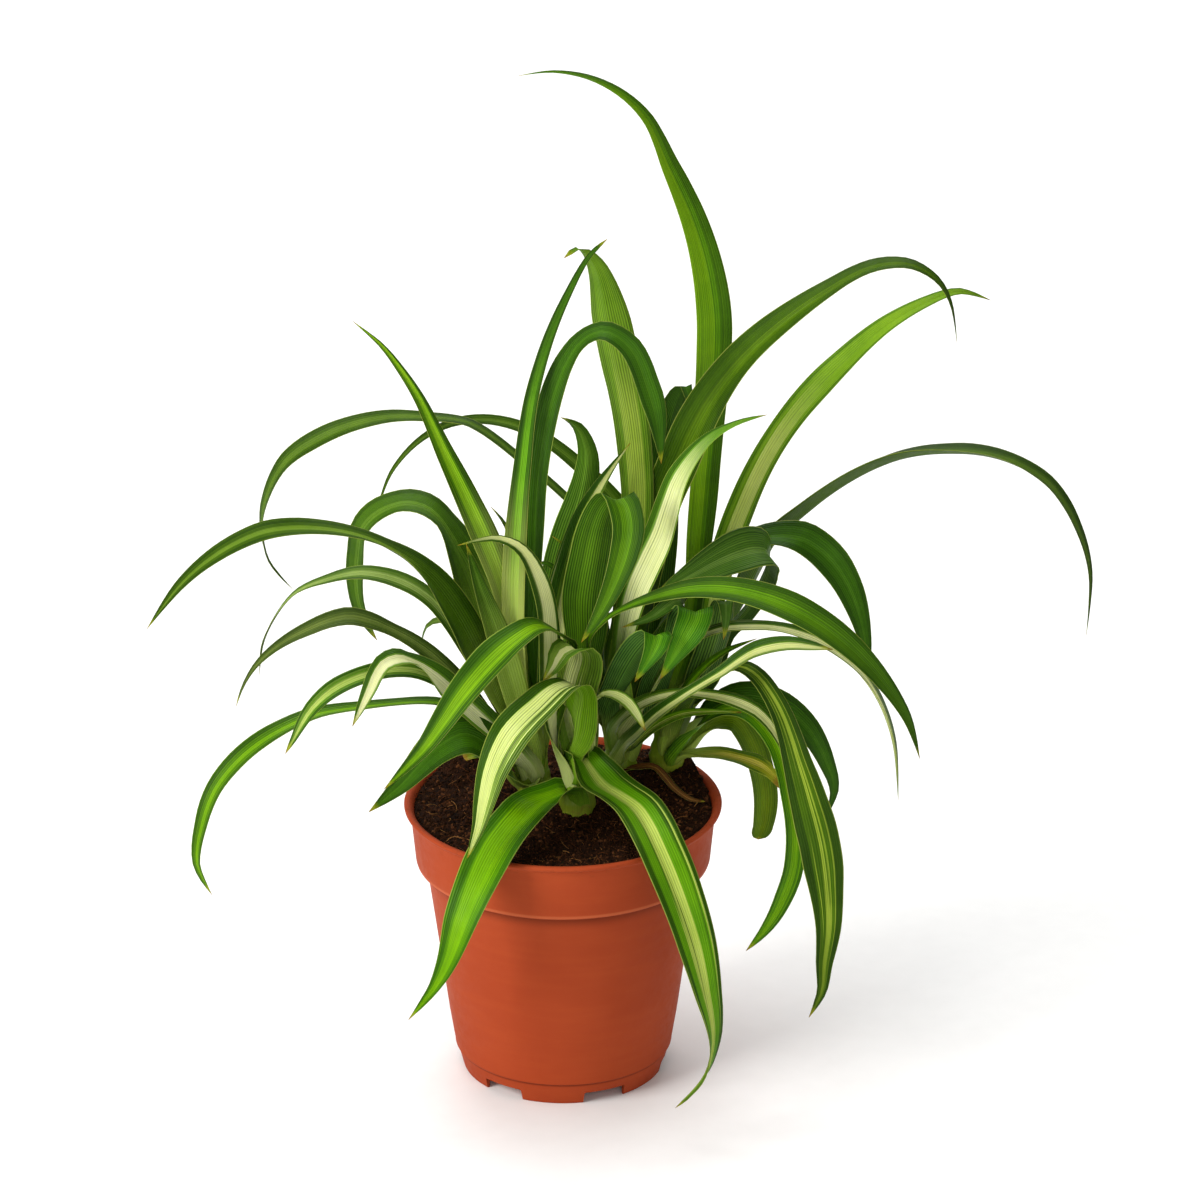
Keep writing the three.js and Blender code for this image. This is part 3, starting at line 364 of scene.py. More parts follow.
leaf_finish("pale_broad", (60, 98, 10), (92, 134, 22), (176, 198, 82), 0.52, 0.74, 0.6, 0.4, 0.3,
    shown=(0.0, 0.62), under=(130, 162, 46), under_share=0.3, base=WHITE_BASE, base_reach=50)
leaf_finish("pale_fading", (78, 116, 16), (112, 150, 28), (194, 208, 112), 0.5, 0.76, 0.35, 0.3,
    0.2, shown=(0.0, 0.5), under=(136, 168, 50), under_share=0.3, base=WHITE_BASE, base_reach=50)
leaf_finish("grey_striped", (40, 66, 4), (64, 94, 8), (136, 156, 50), 0.24, 0.54, 1.2, 0.7, 0.6,
    shown=(0.18, 0.86), under=(76, 102, 28))
leaf_finish("lit_ribbed", (56, 108, 12), (74, 132, 18), (100, 158, 26), 0.3, 0.7, 0.7, 0.4, 0.3,
    ribbing=0.5, under=(84, 120, 60), under_share=0.8, tip=2.4)
leaf_finish("thin_dark", (46, 72, 8), (60, 88, 14), (82, 110, 30), 0.3, 0.6, 0.4, 0.3, 0.2,
    under=(66, 96, 8), under_share=0.8)
leaf_finish("olive_grey", (54, 72, 22), (72, 90, 34), (98, 114, 52), 0.3, 0.6, 0.4, 0.3, 0.3,
    under=(66, 82, 34))
leaf_finish("olive", (76, 104, 4), (90, 118, 4), (102, 128, 6), 0.3, 0.7, 0.3, 0.15,
    under=(90, 116, 6), tip=0.4)
leaf_finish("yellowing", (76, 104, 14), (130, 136, 22), (186, 174, 72), 0.3, 0.62, 0.7, 0.4, 0.3,
    under=(120, 128, 30), tip=5.0)
leaf_finish("dried", (84, 50, 24), (112, 72, 34), (144, 102, 52), 0.3, 0.7, 1.0, 0.6, 0.3,
    under=(96, 60, 30), base=shade(84, 48, 22), tip=1.0)
leaf_finish("diagonal", (50, 84, 4), (78, 124, 8), (138, 184, 30), 0.4, 0.6, 0.5, 0.5, 0.3,
    under=(88, 128, 22), base=shade(192, 206, 104), base_reach=150)
leaf_finish("cream_upright", (58, 96, 14), (96, 142, 34), (224, 230, 168), 0.72, 0.86, 0.45, 0.5,
    0.1, lean=0.16, shown=(0.0, 0.7), under=(176, 194, 110), under_share=0.4,
    base=shade(132, 172, 50), base_reach=90)
leaf_finish("soft_grey", (58, 86, 22), (82, 110, 36), (128, 150, 78), 0.34, 0.62, 0.3, 0.25,
    under=(70, 96, 34))
leaf_finish("outer_striped", (48, 78, 6), (66, 98, 10), (112, 144, 44), 0.24, 0.6, 0.4, 0.4, 0.15,
    ribbing=0.4, shown=(0.52, 1.0), under=(74, 102, 30), under_share=0.7, base=shade(160, 186, 76),
    base_reach=95)
leaf_finish("light_stripe", (52, 88, 16), (86, 126, 30), (166, 188, 94), 0.3, 0.62, 0.4, 0.45, 0.2,
    under=(84, 118, 42), under_share=0.6, base=WHITE_BASE, base_reach=60)
leaf_finish("cream_twisted", (56, 92, 16), (96, 134, 34), (216, 218, 168), 0.52, 0.7, 0.35, 0.4,
    0.2, lean=-0.22, under=(110, 142, 56), under_share=0.5, base=WHITE_BASE)
leaf_finish("cream_tip", (50, 82, 10), (84, 116, 24), (222, 226, 160), 0.5, 0.66, 0.6, 0.5, 0.2,
    lean=0.2, shown=(0.0, 0.86), under=(150, 172, 74), under_share=0.4, base=WHITE_BASE)
leaf_finish("dark_left", (48, 78, 8), (62, 96, 14), (86, 120, 32), 0.24, 0.64, 0.4, 0.35,
    under=(66, 92, 24), base=shade(160, 186, 76), base_reach=120)

# Each leaf's finish, and the record's slot that it belongs to.
LEAF_LOOKS = {
    "leaf_front_right_drop": ("front_pale", "leaf_light"),
    "leaf_front_left_drop": ("front_green", "leaf_green"),
    "leaf_front_cream": ("cream_striped", "leaf_cream"),
    "leaf_long_front_left": ("bright_dark_edged", "leaf_green"),
    "leaf_short_folded": ("white_grey", "leaf_cream"),
    "leaf_centre_folded": ("broad_centre", "leaf_green"),
    "leaf_right_twisted": ("bright_fading", "leaf_green"),
    "leaf_small_cream_hook": ("cream_wide", "leaf_cream"),
    "leaf_cream_edge_upright": ("cream_right", "leaf_cream"),
    "leaf_cream_tip_left": ("cream_tip", "leaf_cream"),
    "leaf_dark_arch": ("dark_plain", "leaf_dark"),
    "leaf_thin_upright": ("upright_green", "leaf_green"),
    "leaf_left_diagonal": ("diagonal", "leaf_green"),
    "leaf_left_hook": ("dark_left", "leaf_dark"),
    "leaf_long_left": ("outer_striped", "leaf_green"),
    "leaf_left_high_arc": ("soft_grey", "leaf_dark"),
    "leaf_left_mid_arc": ("olive_grey", "leaf_dark"),
    "leaf_left_small_hook": ("dark_left", "leaf_dark"),
    "leaf_low_long_left": ("bright_middle", "leaf_green"),
    "leaf_left_light_stripe": ("light_stripe", "leaf_light"),
    "leaf_left_cream_twist": ("cream_twisted", "leaf_cream"),
    "leaf_left_low_front": ("dark_plain", "leaf_green"),
    "leaf_short_pointed": ("dark_left", "leaf_green"),
    "leaf_dark_striped_tip": ("dark_striped", "leaf_dark"),
    "leaf_small_soil_left": ("bright_middle", "leaf_green"),
    "leaf_broad_behind": ("green_ribbed", "leaf_green"),
    "leaf_right_dark_arch": ("plain_green", "leaf_dark"),
    "leaf_tall_broad": ("pale_broad", "leaf_light"),
    "leaf_far_left_arch": ("thin_dark", "leaf_dark"),
    "leaf_cream_upright": ("cream_upright", "leaf_cream"),
    "leaf_ribbed_hanging_tip": ("lit_ribbed", "leaf_dark"),
    "leaf_broad_hanging_tip": ("lit_ribbed", "leaf_dark"),
    "leaf_cream_under_arc": ("cream_tip", "leaf_cream"),
    "leaf_cream_striped_right": ("cream_right", "leaf_cream"),
    "leaf_grey_arc_right": ("cream_white", "leaf_cream"),
    "leaf_light_edge_right": ("pale_middle", "leaf_light"),
    "leaf_dark_left_behind": ("dark_plain", "leaf_dark"),
    "leaf_small_green_tip": ("green_ribbed", "leaf_green"),
    "leaf_dry_fallen": ("dried", "leaf_dry"),
    "leaf_left_point_tip": ("dark_ribbed", "leaf_green"),
    # this blade's darker side is painted shade of its fold
    "leaf_tallest": ("fold_lit_and_shaded", "leaf_green"),
    "leaf_right_light_arch": ("pale_fading", "leaf_light"),
    "leaf_far_right_arch": ("thin_dark", "leaf_dark"),
    "leaf_back_thin_arch": ("thin_dark", "leaf_dark"),
    "leaf_right_dark_drop": ("dark_plain", "leaf_dark"),
    "leaf_right_folded_back": ("dark_ribbed", "leaf_green"),
    "leaf_down_tip": ("dark_ribbed", "leaf_green"),
    "leaf_dark_behind_drop": ("dark_plain", "leaf_dark"),
    "leaf_olive_drop": ("olive", "leaf_green"),
    "leaf_yellowing_low": ("yellowing", "leaf_dry"),
    "leaf_back_folded_tip": ("dark_plain", "leaf_dark"),
    "leaf_thin_point_right": ("bright_middle", "leaf_green"),
    "leaf_big_right_drop": ("grey_striped", "leaf_light"),
    "leaf_curl_right": ("front_green", "leaf_dark"),
}


TIP_HALF_WIDTH = 0.1 * MM


def merged_copy(name):
    """A model node's mesh with its loose triangles joined."""
    work = bmesh.new()
    work.from_mesh(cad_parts[name].data)
    bmesh.ops.remove_doubles(work, verts=work.verts, dist=1e-6)
    work.verts.ensure_lookup_table()
    return work


def leaf_rings(name):
    """The model leaf read back as rings, base first.

    Each row is a ring's middle, its directions across and up, and its half width."""
    work = merged_copy(name)

    def rings_from(tip):
        rings, seen, front = [], {tip}, [tip]
        while front:
            reached = {e.other_vert(v) for v in front for e in v.link_edges} - seen
            seen |= reached
            front = list(reached)
            if front:
                rings.append([v.co.copy() for v in front])
        return tip.co.copy(), rings

    def girth(found):
        if any(len(ring) != 4 for ring in found[1]):
            return math.inf
        return sum(max((a - b).length for a, b in combinations(ring, 2)) for ring in found[1])

    point, rings = min((rings_from(v) for v in work.verts if len(v.link_edges) == 4), key=girth)
    work.free()

    rows = []
    for ring in reversed(rings):
        one, other = max(combinations(ring, 2), key=lambda pair: (pair[0] - pair[1]).length)
        third, fourth = [corner for corner in ring if corner is not one and corner is not other]
        between = (one + other) / 2
        top, under = sorted((third, fourth), key=lambda p: (p - between).length)
        rows.append((one, other, top, under))
    middles = [sum(row, Vector()) / 4 for row in rows] + [point]
    table = []
    for i, (one, other, top, under) in enumerate(rows):
        along = middles[i + 1] - middles[max(i - 1, 0)]
        if (one - other).cross(along).dot(top - under) < 0:
            one, other = other, one
        half = (one - other).length / 2
        up = (top - under).normalized()
        centre = ((one + other) / 2 + (top + under) / 2) / 2
        table.append((*centre, *(one - other).normalized(), *up, half))
    table.append((*point, *table[-1][3:9], TIP_HALF_WIDTH))
    return np.array(table)


def smooth_through(knots, values, at):
    """A smooth curve through values at their knots, read at the places in at."""
    gap = np.diff(knots)
    slope = np.diff(values, axis=0) / gap[:, None]
    lean = (gap[1:] / (gap[:-1] + gap[1:]))[:, None]
    tangent = np.vstack([slope[:1], slope[:-1] * lean + slope[1:] * (1 - lean), slope[-1:]])
    i = np.clip(np.searchsorted(knots, at, side="right") - 1, 0, len(gap) - 1)
    t = ((at - knots[i]) / gap[i])[:, None]
    reach = gap[i][:, None]
    return (
        (2 * t**3 - 3 * t**2 + 1) * values[i] + (t**3 - 2 * t**2 + t) * reach * tangent[i]
        + (3 * t**2 - 2 * t**3) * values[i + 1] + (t**3 - t**2) * reach * tangent[i + 1]
    )


def unit(rows):
    return rows / np.maximum(np.linalg.norm(rows, axis=1, keepdims=True), 1e-12)


def soft_step(values, low, high):
    t = np.clip((values - low) / (high - low), 0, 1)
    return t * t * (3 - 2 * t)


def crown_axes():
    """Each crown's name, with the point where its axis leaves the soil."""
    found = []
    for name in CROWNS:
        low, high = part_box(name)
        level = low.z + CROWN_SUNK
        found.append((Vector(((low.x + high.x) / 2, (low.y + high.y) / 2, level)), name))
    return found


CROWN_SUNK = 14 * MM      # how much of a model crown is in the soil
CROWN_AXES = crown_axes()
SHRIVELLED = {"leaf_dry_fallen"}      # leaves with hardly a sheath and no stalk
# Leaves whose blades differ from the model's over a stretch: how many times as wide, degrees
# turned to the front, and where the stretch starts and ends, as shares of the leaf's length.
OPENED = {
    "leaf_left_hook": (1.6, 25, 0.15, 1.0),
    "leaf_left_low_front": (1.7, 25, 0.25, 1.0),
    "leaf_back_thin_arch": (1.3, 20, 0.2, 1.0),
    "leaf_far_right_arch": (1.9, 16, 0.15, 0.85),
    "leaf_tallest": (1.5, 0, 0.45, 0.85),
    "leaf_right_dark_arch": (1.4, 0, 0.4, 0.9),
    "leaf_left_diagonal": (1.2, 0, 0.1, 0.7),
    "leaf_cream_striped_right": (1.9, 15, 0.65, 1.0),
    "leaf_dry_fallen": (0.75, 0, 0.2, 1.0),
    "leaf_front_cream": (1.7, 0, 0.0, 0.22),
    "leaf_front_right_drop": (1.7, 0, 0.0, 0.1),
    "leaf_front_left_drop": (1.5, 0, 0.0, 0.14),
    "leaf_short_folded": (1.2, 0, 0.2, 1.0),
    "leaf_thin_upright": (1.25, 0, 0.05, 0.45),
    "leaf_cream_under_arc": (3.4, 25, 0.6, 1.0),
    "leaf_cream_edge_upright": (1.5, 0, 0.45, 0.9),
    "leaf_cream_tip_left": (1.6, 0, 0.15, 0.8),
}
BLUNT = {"leaf_olive_drop"}
BLUNT_END = 7 * MM        # how long the rounded end of a blunt leaf is
ACROSS = 13               # points across a blade
RING_GAP = 4 * MM         # and the stretch between its rings
CHANNEL = 0.3             # how far a blade's edges stand above its midrib, per half width
MIDRIB = 0.12, 0.16       # depth and width of the midrib's groove, per half width
THINNEST = 0.08 * MM      # half the width of a blade where it is narrowest
THICK = 0.9, 0.66         # millimetres: a blade's thickness, and how much thinner its edges are
THINNING = 0.55           # the share of its thickness that a blade loses by its tip
TUCK_OUT = 5.5            # millimetres from a crown's axis to where its leaves start
TUCK_DOWN = 13 * MM       # they start this far under the model's first ring,
TUCK_DEEPEST = 3 * MM     # but no deeper than this under the soil's level
SHEATH = 6 * MM, 36 * MM  # where a sheath starts to open, and is open
SHEATH_HALF = 8.5 * MM    # the most that half its width can be
SHEATH_WRAP = 78          # degrees that each half of a sheath wraps round
STALK = 30 * MM, 105 * MM    # where a stalk starts to turn into the blade, and has done so
STALK_HALF = 9 * MM       # the most that half its width can be
WAVE_LENGTH = 46 * MM     # of the ripples along an edge
WAVE_DEPTH = 0.16         # per half width
VEIN_GAP = 1.15 * MM


def rooted_rings(name):
    """The model leaf's rings, with one more in its crown, and the way out from the crown."""
    rings = leaf_rings(name)
    foot = rings[0, :3]
    crown = min((axis for axis, _ in CROWN_AXES), key=lambda a: (a.xy - Vector(foot[:2])).length)
    outward = np.array([foot[0] - crown.x, foot[1] - crown.y, 0])
    outward /= np.linalg.norm(outward)
    tuck = np.array([crown.x, crown.y, 0]) + outward * TUCK_OUT * MM
    tuck[2] = max(foot[2] - TUCK_DOWN, crown.z - TUCK_DEEPEST)
    return np.vstack([np.concatenate([tuck, rings[0, 3:]]), rings]), outward


def blade_faces(count):
    """The faces of a closed blade of count rings: upper side, underside and rim."""
    cells = count * ACROSS
    index = np.arange(cells).reshape(count, ACROSS)
    a, b = index[:-1, :-1], index[:-1, 1:]
    c, d = index[1:, 1:], index[1:, :-1]
    upper = np.stack([a, b, c, d], -1).reshape(-1, 4)
    under = np.stack([d, c, b, a], -1).reshape(-1, 4) + cells
    border = np.concatenate([index[0, :], index[1:, -1], index[-1, -2::-1], index[-2:0:-1, 0]])
    following = np.roll(border, -1)
    rim = np.stack([following, border, border + cells, following + cells], -1)
    return np.vstack([upper, under, rim])


def grow_leaf(name, number):
    rings, outward = rooted_rings(name)
    knots = np.concatenate([[0], np.cumsum(np.linalg.norm(np.diff(rings[:, :3], axis=0), axis=1))])
    length = knots[-1]
    count = max(24, int(length / RING_GAP)) * (3 if name in BLUNT else 1)
    at = np.linspace(0, length, count)
    drawn = smooth_through(knots, rings, at)
    share = at / length
    centre, half = drawn[:, :3], np.maximum(drawn[:, 9], THINNEST)
    along = unit(np.gradient(centre, axis=0))
    side = drawn[:, 3:6] - along * (drawn[:, 3:6] * along).sum(1, keepdims=True)
    side = unit(side)
    wider, turn, first, last = OPENED.get(name, (1, 0, 0, 1))
    opening = soft_step(share, first - 0.1, first + 0.15)
    if last < 1:
        opening = opening * (1 - soft_step(share, last - 0.12, last + 0.12))
    turn = -math.radians(turn) * opening[:, None]
    side = side * np.cos(turn) + np.cross(along, side) * np.sin(turn)
    half = half * (1 + (wider - 1) * opening)
    if name in BLUNT:
        near = np.clip((length - at) / BLUNT_END, 0, 1)
        full = np.interp(length - BLUNT_END, at, half)
        rounded = np.maximum(full * np.sqrt(near * (2 - near)), TIP_HALF_WIDTH)
        half = np.where(near < 1, rounded, half)
    up = np.cross(side, along)

    # the base is a sheath that wraps round the crown, and a broad stalk rises from it
    sheath = 1 - soft_step(at, *SHEATH)
    stalk = 1 - soft_step(at, *STALK)
    if name in SHRIVELLED:
        sheath, stalk = sheath * 0.3, stalk * 0
    inward = 1.0 if up[0] @ outward < 0 else -1.0
    widest = half.max()
    half = np.maximum(half, sheath * min(0.85 * widest, SHEATH_HALF))
    half = np.maximum(half, stalk * min(0.8 * widest, STALK_HALF))
    wrap = np.radians(SHEATH_WRAP) * sheath + 1e-4      # never quite flat, to divide by
    flat = 1 - sheath

    u = np.linspace(-1, 1, ACROSS)
    turned = wrap[:, None] * u
    x = np.sin(turned) / wrap[:, None]
    y = inward * (1 - np.cos(turned)) / wrap[:, None]
    groove = CHANNEL * (np.abs(u) - MIDRIB[0] * np.exp(-((u / MIDRIB[1]) ** 2)) - 0.5)
    y = y + flat[:, None] * groove + inward * sheath[:, None] * 0.16 * np.abs(u)
    ripple = np.array([
        [noise.noise(Vector((v * length / WAVE_LENGTH, number * 3.1, s * 5.7))) for s in (-1, 1)]
        for v in share
    ])
    ripple *= (soft_step(share, 0.05, 0.3) * (1 - soft_step(share, 0.8, 1)))[:, None]
    wave = np.where(u < 0, ripple[:, :1], ripple[:, 1:]) * np.abs(u) ** 2.5 * WAVE_DEPTH
    y = y + wave
    skin = (
        centre[:, None] + side[:, None] * (half[:, None] * x)[..., None]
        + up[:, None] * (half[:, None] * y)[..., None]
    )
    normal = np.cross(np.gradient(skin, axis=1), np.gradient(skin, axis=0))
    normal /= np.maximum(np.linalg.norm(normal, axis=2, keepdims=True), 1e-15)
    thick = (THICK[0] - THICK[1] * np.abs(u)) * MM / 2
    thick = thick * (1 - THINNING * share[:, None]) * np.minimum(1, half[:, None] / (2 * MM))
    upper = (skin + normal * thick[..., None]).reshape(-1, 3)
    lower = (skin - normal * thick[..., None]).reshape(-1, 3)

    finish, slot = LEAF_LOOKS[name]
    leaf = piece_of(
        name + "_blade", np.vstack([upper, lower]), blade_faces(count), FINISHES[finish])
    chart = np.stack(np.broadcast_arrays((u[None] + 1) / 2, share[:, None]), -1).reshape(-1, 2)
    chart = np.vstack([chart, chart])
    loops = np.zeros(len(leaf.data.loops), np.int32)
    leaf.data.loops.foreach_get("vertex_index", loops)
    blade_map = leaf.data.uv_layers.new(name="blade").uv
    blade_map.foreach_set("vector", chart[loops].ravel().astype(np.float32))
    cells = count * ACROSS
    point_value(leaf, "underside", np.repeat([0, 1], cells))
    point_value(leaf, "veins", np.full(2 * cells, round(widest * 2 / VEIN_GAP)))
    point_value(leaf, "from_base", np.tile(np.repeat(at / MM, ACROSS), 2))
    point_value(leaf, "to_tip", np.tile(np.repeat((length - at) / MM, ACROSS), 2))
    point_value(leaf, "individual", np.full(2 * cells, (number * 0.618) % 1))
    settle(leaf, slot, name)


for number, name in enumerate(LEAF_LOOKS):
    grow_leaf(name, number)


# ---- crowns --------------------------------------------------------------------------------------

def crown_finish():
    finish, tree, shader = new_finish("crown_flesh")
    place = node(tree, "ShaderNodeTexCoord").outputs["Object"]
    height, turn = noted(tree, "rise"), noted(tree, "turn")
    spot = node(tree, "ShaderNodeCombineXYZ", {
        0: times(tree, turn, 46.0), 1: times(tree, height, 1.6)})
    fibre = grain(tree, spot.outputs[0], 1.0, 3.0)
    blotch = grain(tree, place, 190.0, 4.0)
    colour = blend(
        tree, ramp(tree, height, 0.2, 0.75), shade(138, 148, 40), shade(108, 144, 22))
    colour = blend(tree, ramp(tree, fibre, 0.35, 0.7, 0.0, 0.5), colour, shade(96, 130, 14))
    colour = blend(tree, ramp(tree, blotch, 0.6, 0.74, 0.0, 0.4), colour, shade(122, 84, 34))
    wire(
        tree, shader, Base_Color=colour, Roughness=ramp(tree, blotch, 0.3, 0.7, 0.36, 0.55),
        Normal=raised(tree, fibre, 0.0004, 0.7), Specular_IOR_Level=0.2,
        Subsurface_Weight=0.2, Subsurface_Scale=0.003, Subsurface_Radius=(0.8, 1.0, 0.3),
    )
    return finish


CROWN_FLESH = crown_finish()
# The outline of a crown's stem in millimetres: radius, and height over the soil.
BULB = [
    (0, -12), (4, -11.2), (6.6, -8), (8.1, -3), (8.5, 1), (8.0, 5), (6.9, 9), (6.0, 13),
    (5.2, 17), (4.2, 21), (2.6, 24), (0, 25),
]
BULB_SIDES, BULB_RINGS = 48, 40


def raise_crown(axis, name, number):
    """The fleshy stem that the leaves wrap round, ridged by the scars of shed ones."""
    profile = np.array(BULB, float)
    knots = np.arange(len(profile))
    fine = smooth_through(knots, profile, np.linspace(0, len(profile) - 1, BULB_RINGS))
    bottom, top = BULB[0][1], BULB[-1][1]
    sides = BULB_SIDES
    points, rise, turn = [], [], []
    for radius, height in fine[1:-1]:
        for k in range(sides):
            angle = 2 * math.pi * k / sides
            around = Vector((math.cos(angle), math.sin(angle), 0))
            scar = 0.2 * math.sin(height * 1.1 + 3 * math.sin(angle))
            fold = 0.25 * math.sin(5 * angle + number) + scar
            lump = noise.noise(Vector((around.x * 2, around.y * 2, height * 0.12 + number * 7)))
            r = max(radius + (fold + 0.5 * lump) * min(1, radius / 4), 0.2)
            points.append(axis + around * r * MM + Vector((0, 0, height * MM)))
            rise.append((height - bottom) / (top - bottom))
            turn.append(abs(k / sides - 0.5) * 2)
    low = len(points)
    points += [axis + Vector((0, 0, fine[0, 1] * MM)), axis + Vector((0, 0, fine[-1, 1] * MM))]
    rise += [0, 1]
    turn += [0, 0]
    faces = []
    last = len(fine) - 3
    for ring in range(last):
        for k in range(sides):
            a, b = ring * sides + k, ring * sides + (k + 1) % sides
            faces.append((a, b, b + sides, a + sides))
    for k in range(sides):
        faces.append((low, (k + 1) % sides, k))
        faces.append((low + 1, last * sides + k, last * sides + (k + 1) % sides))
    crown = piece_of(name + "_stem", points, faces, CROWN_FLESH)
    point_value(crown, "rise", rise)
    point_value(crown, "turn", turn)
    settle(crown, "crown_tissue", name)


for number, (axis, name) in enumerate(CROWN_AXES):
    raise_crown(axis, name, number)


# ---- pot -----------------------------------------------------------------------------------------

# Heights of marks on the pot, of soil and of painted shade and highlight: where a mark starts, is
# full, starts to fade and is gone.
SOILED_RIM = 0.126, 0.138       # this one doesn't fade
# Painted shade under the rim band's ledge, and painted shade at the ridge over the foot:
SHADE_UNDER_BAND = 0.100, 0.107, 0.108, 0.1088
SHADE_OVER_FOOT = 0.0098, 0.0112, 0.0114, 0.012
# A painted highlight along the rim band's lower edge:
HIGHLIGHT_ON_BAND_EDGE = 0.1084, 0.109, 0.1096, 0.1108


def pot_finish():
    finish, tree, shader = new_finish("terracotta_plastic")
    place = node(tree, "ShaderNodeTexCoord").outputs["Object"]
    height = node(tree, "ShaderNodeSeparateXYZ", {0: place}).outputs[2]
    cloud = grain(tree, place, 16.0, 4.0)
    skin = grain(tree, place, 900.0, 3.0)
    dust = grain(tree, place, 240.0, 5.0, 0.7)
    flow = node(tree, "ShaderNodeMapping", {"Vector": place, "Scale": (30.0, 30.0, 260.0)})
    rings = grain(tree, flow.outputs[0], 1.0, 3.0)

    def mark(starts, full, fading, gone):
        return times(tree, ramp(tree, height, starts, full), ramp(tree, height, gone, fading))

    colour = blend(tree, ramp(tree, cloud, 0.3, 0.7), shade(152, 60, 30), shade(161, 66, 34))
    colour = blend(tree, ramp(tree, rings, 0.4, 0.7, 0.0, 0.06), colour, shade(190, 88, 40))
    colour = blend(tree, ramp(tree, dust, 0.7, 0.82, 0.0, 0.3), colour, shade(196, 104, 60))
    soiled = times(tree, ramp(tree, height, *SOILED_RIM), ramp(tree, dust, 0.55, 0.72))
    colour = blend(tree, times(tree, soiled, 0.5), colour, shade(96, 52, 32))
    # Painted shade: a dark band under the rim band's ledge and a thin dark line at the ridge over
    # the foot, where shade falls.
    painted_shade = sums(tree, "MAXIMUM", mark(*SHADE_UNDER_BAND), mark(*SHADE_OVER_FOOT))
    colour = blend(tree, times(tree, painted_shade, 0.62), colour, shade(84, 30, 14))
    # Painted highlight: a thin light line along the rim band's lower edge.
    painted_highlight = mark(*HIGHLIGHT_ON_BAND_EDGE)
    colour = blend(tree, times(tree, painted_highlight, 0.4), colour, shade(206, 112, 72))
    relief = sums(tree, "MULTIPLY_ADD", skin, 0.5, times(tree, rings, 0.05))
    wire(
        tree, shader, Base_Color=colour, Roughness=ramp(tree, dust, 0.3, 0.75, 0.5, 0.66),
        Normal=raised(tree, relief, 0.00009, 0.7), Specular_IOR_Level=0.05,
    )
    return finish


# The pot's outline in millimetres, radius and height, from the middle of its underside round to the
# middle of its floor inside.
POT_OUTLINE = [
    (0, 0), (17.4, 0), (18, 0.4), (18.7, 7), (39.6, 7), (39.8, 1.2), (40.4, 0.9), (41.2, 1.2),
    (41.4, 7), (46.8, 7), (46.9, 0.4), (47.3, 0), (48.2, 0), (48.6, 0.3), (48.8, 1.0),
    (51.5, 11.2), (51.9, 11.5), (52.4, 12.0), (52.5, 12.5), (52.45, 13.0), (55.2, 30), (59.2, 60),
    (63.3, 90), (65.5, 105.5), (65.9, 106.8), (66.8, 107.6), (68.4, 107.9), (69.6, 108.1),
    (70.3, 108.6), (70.6, 109.6), (71.4, 118), (72.3, 127), (73, 133.4), (73.3, 134.5),
    (73.6, 134.9), (74.6, 135.2), (75.3, 135.6), (75.9, 136.4), (76, 137), (75.7, 137.6),
    (75.2, 137.95), (74.3, 138), (73.4, 137.8), (72.4, 137), (71.4, 135), (70.4, 126),
    (69.2, 110.5), (68.4, 109.4), (66.2, 108.2), (64.8, 107), (64.2, 105), (61.9, 90), (51.3, 14),
    (48.8, 8.6), (48, 8.4), (0, 8.4),
]
POT_SIDES = 192
NOTCHES, FIRST_NOTCH = 6, 234                      # how many, and degrees to the first
NOTCH_RADIUS, NOTCH_SIZE = 48.7, (12, 21, 12)      # out to a cutter's middle, and its size, in mm


def spun(name, outline, sides, finish):
    """A closed solid of revolution; the outline starts and ends on the axis."""
    rings = outline[1:-1]
    angles = np.linspace(0, 2 * math.pi, sides, endpoint=False)
    points = [
        (r * math.cos(t) * MM, r * math.sin(t) * MM, z * MM) for r, z in rings for t in angles]
    first, last = len(points), len(points) + 1
    points += [(0, 0, outline[0][1] * MM), (0, 0, outline[-1][1] * MM)]
    faces = []
    for ring in range(len(rings) - 1):
        for k in range(sides):
            a, b = ring * sides + k, ring * sides + (k + 1) % sides
            faces.append((a, b, b + sides, a + sides))
    top = (len(rings) - 1) * sides
    for k in range(sides):
        faces.append((first, (k + 1) % sides, k))
        faces.append((last, top + k, top + (k + 1) % sides))
    return piece_of(name, points, faces, finish)


def as_made(source, name):
    """The source with its modifiers worked in, as a plain mesh object in its place."""
    bpy.context.view_layer.update()
    worked = source.evaluated_get(bpy.context.evaluated_depsgraph_get())
    mesh = bpy.data.meshes.new_from_object(worked)
    mesh.name = name
    for extra in list(source.modifiers):
        source.modifiers.remove(extra)
    bpy.data.objects.remove(source)
    made = bpy.data.objects.new(name, mesh)
    scene.collection.objects.link(made)
    return made


def mould_pot():
    body = spun("pot_blank", POT_OUTLINE, POT_SIDES, pot_finish())
    work = bmesh.new()
    for i in range(NOTCHES):
        turn = Matrix.Rotation(math.radians(FIRST_NOTCH + 360 / NOTCHES * i), 4, "Z")
        bmesh.ops.create_cube(work, size=1, matrix=turn @ Matrix.LocRotScale(
            Vector((NOTCH_RADIUS, 0, 0)) * MM, None, Vector(NOTCH_SIZE) * MM))
    edges = [e for e in work.edges if min(v.co.z for v in e.verts) > 5 * MM]
    bmesh.ops.bevel(work, geom=edges, offset=0.9 * MM, segments=3, profile=0.5, affect="EDGES")
    mesh = bpy.data.meshes.new("notch_cutters")
    work.to_mesh(mesh)
    work.free()
    cutter = bpy.data.objects.new("notch_cutters", mesh)
    scene.collection.objects.link(cutter)
    cut = body.modifiers.new("notches", "BOOLEAN")
    cut.object = cutter
    cut.operation = "DIFFERENCE"
    cut.solver = "EXACT"
    pot = as_made(body, "nursery_pot")
    bpy.data.objects.remove(cutter)
    pot.data.set_sharp_from_angle(angle=math.radians(38))
    settle(pot, "pot_plastic", "pot")


mould_pot()


# ---- soil ----------------------------------------------------------------------------------------

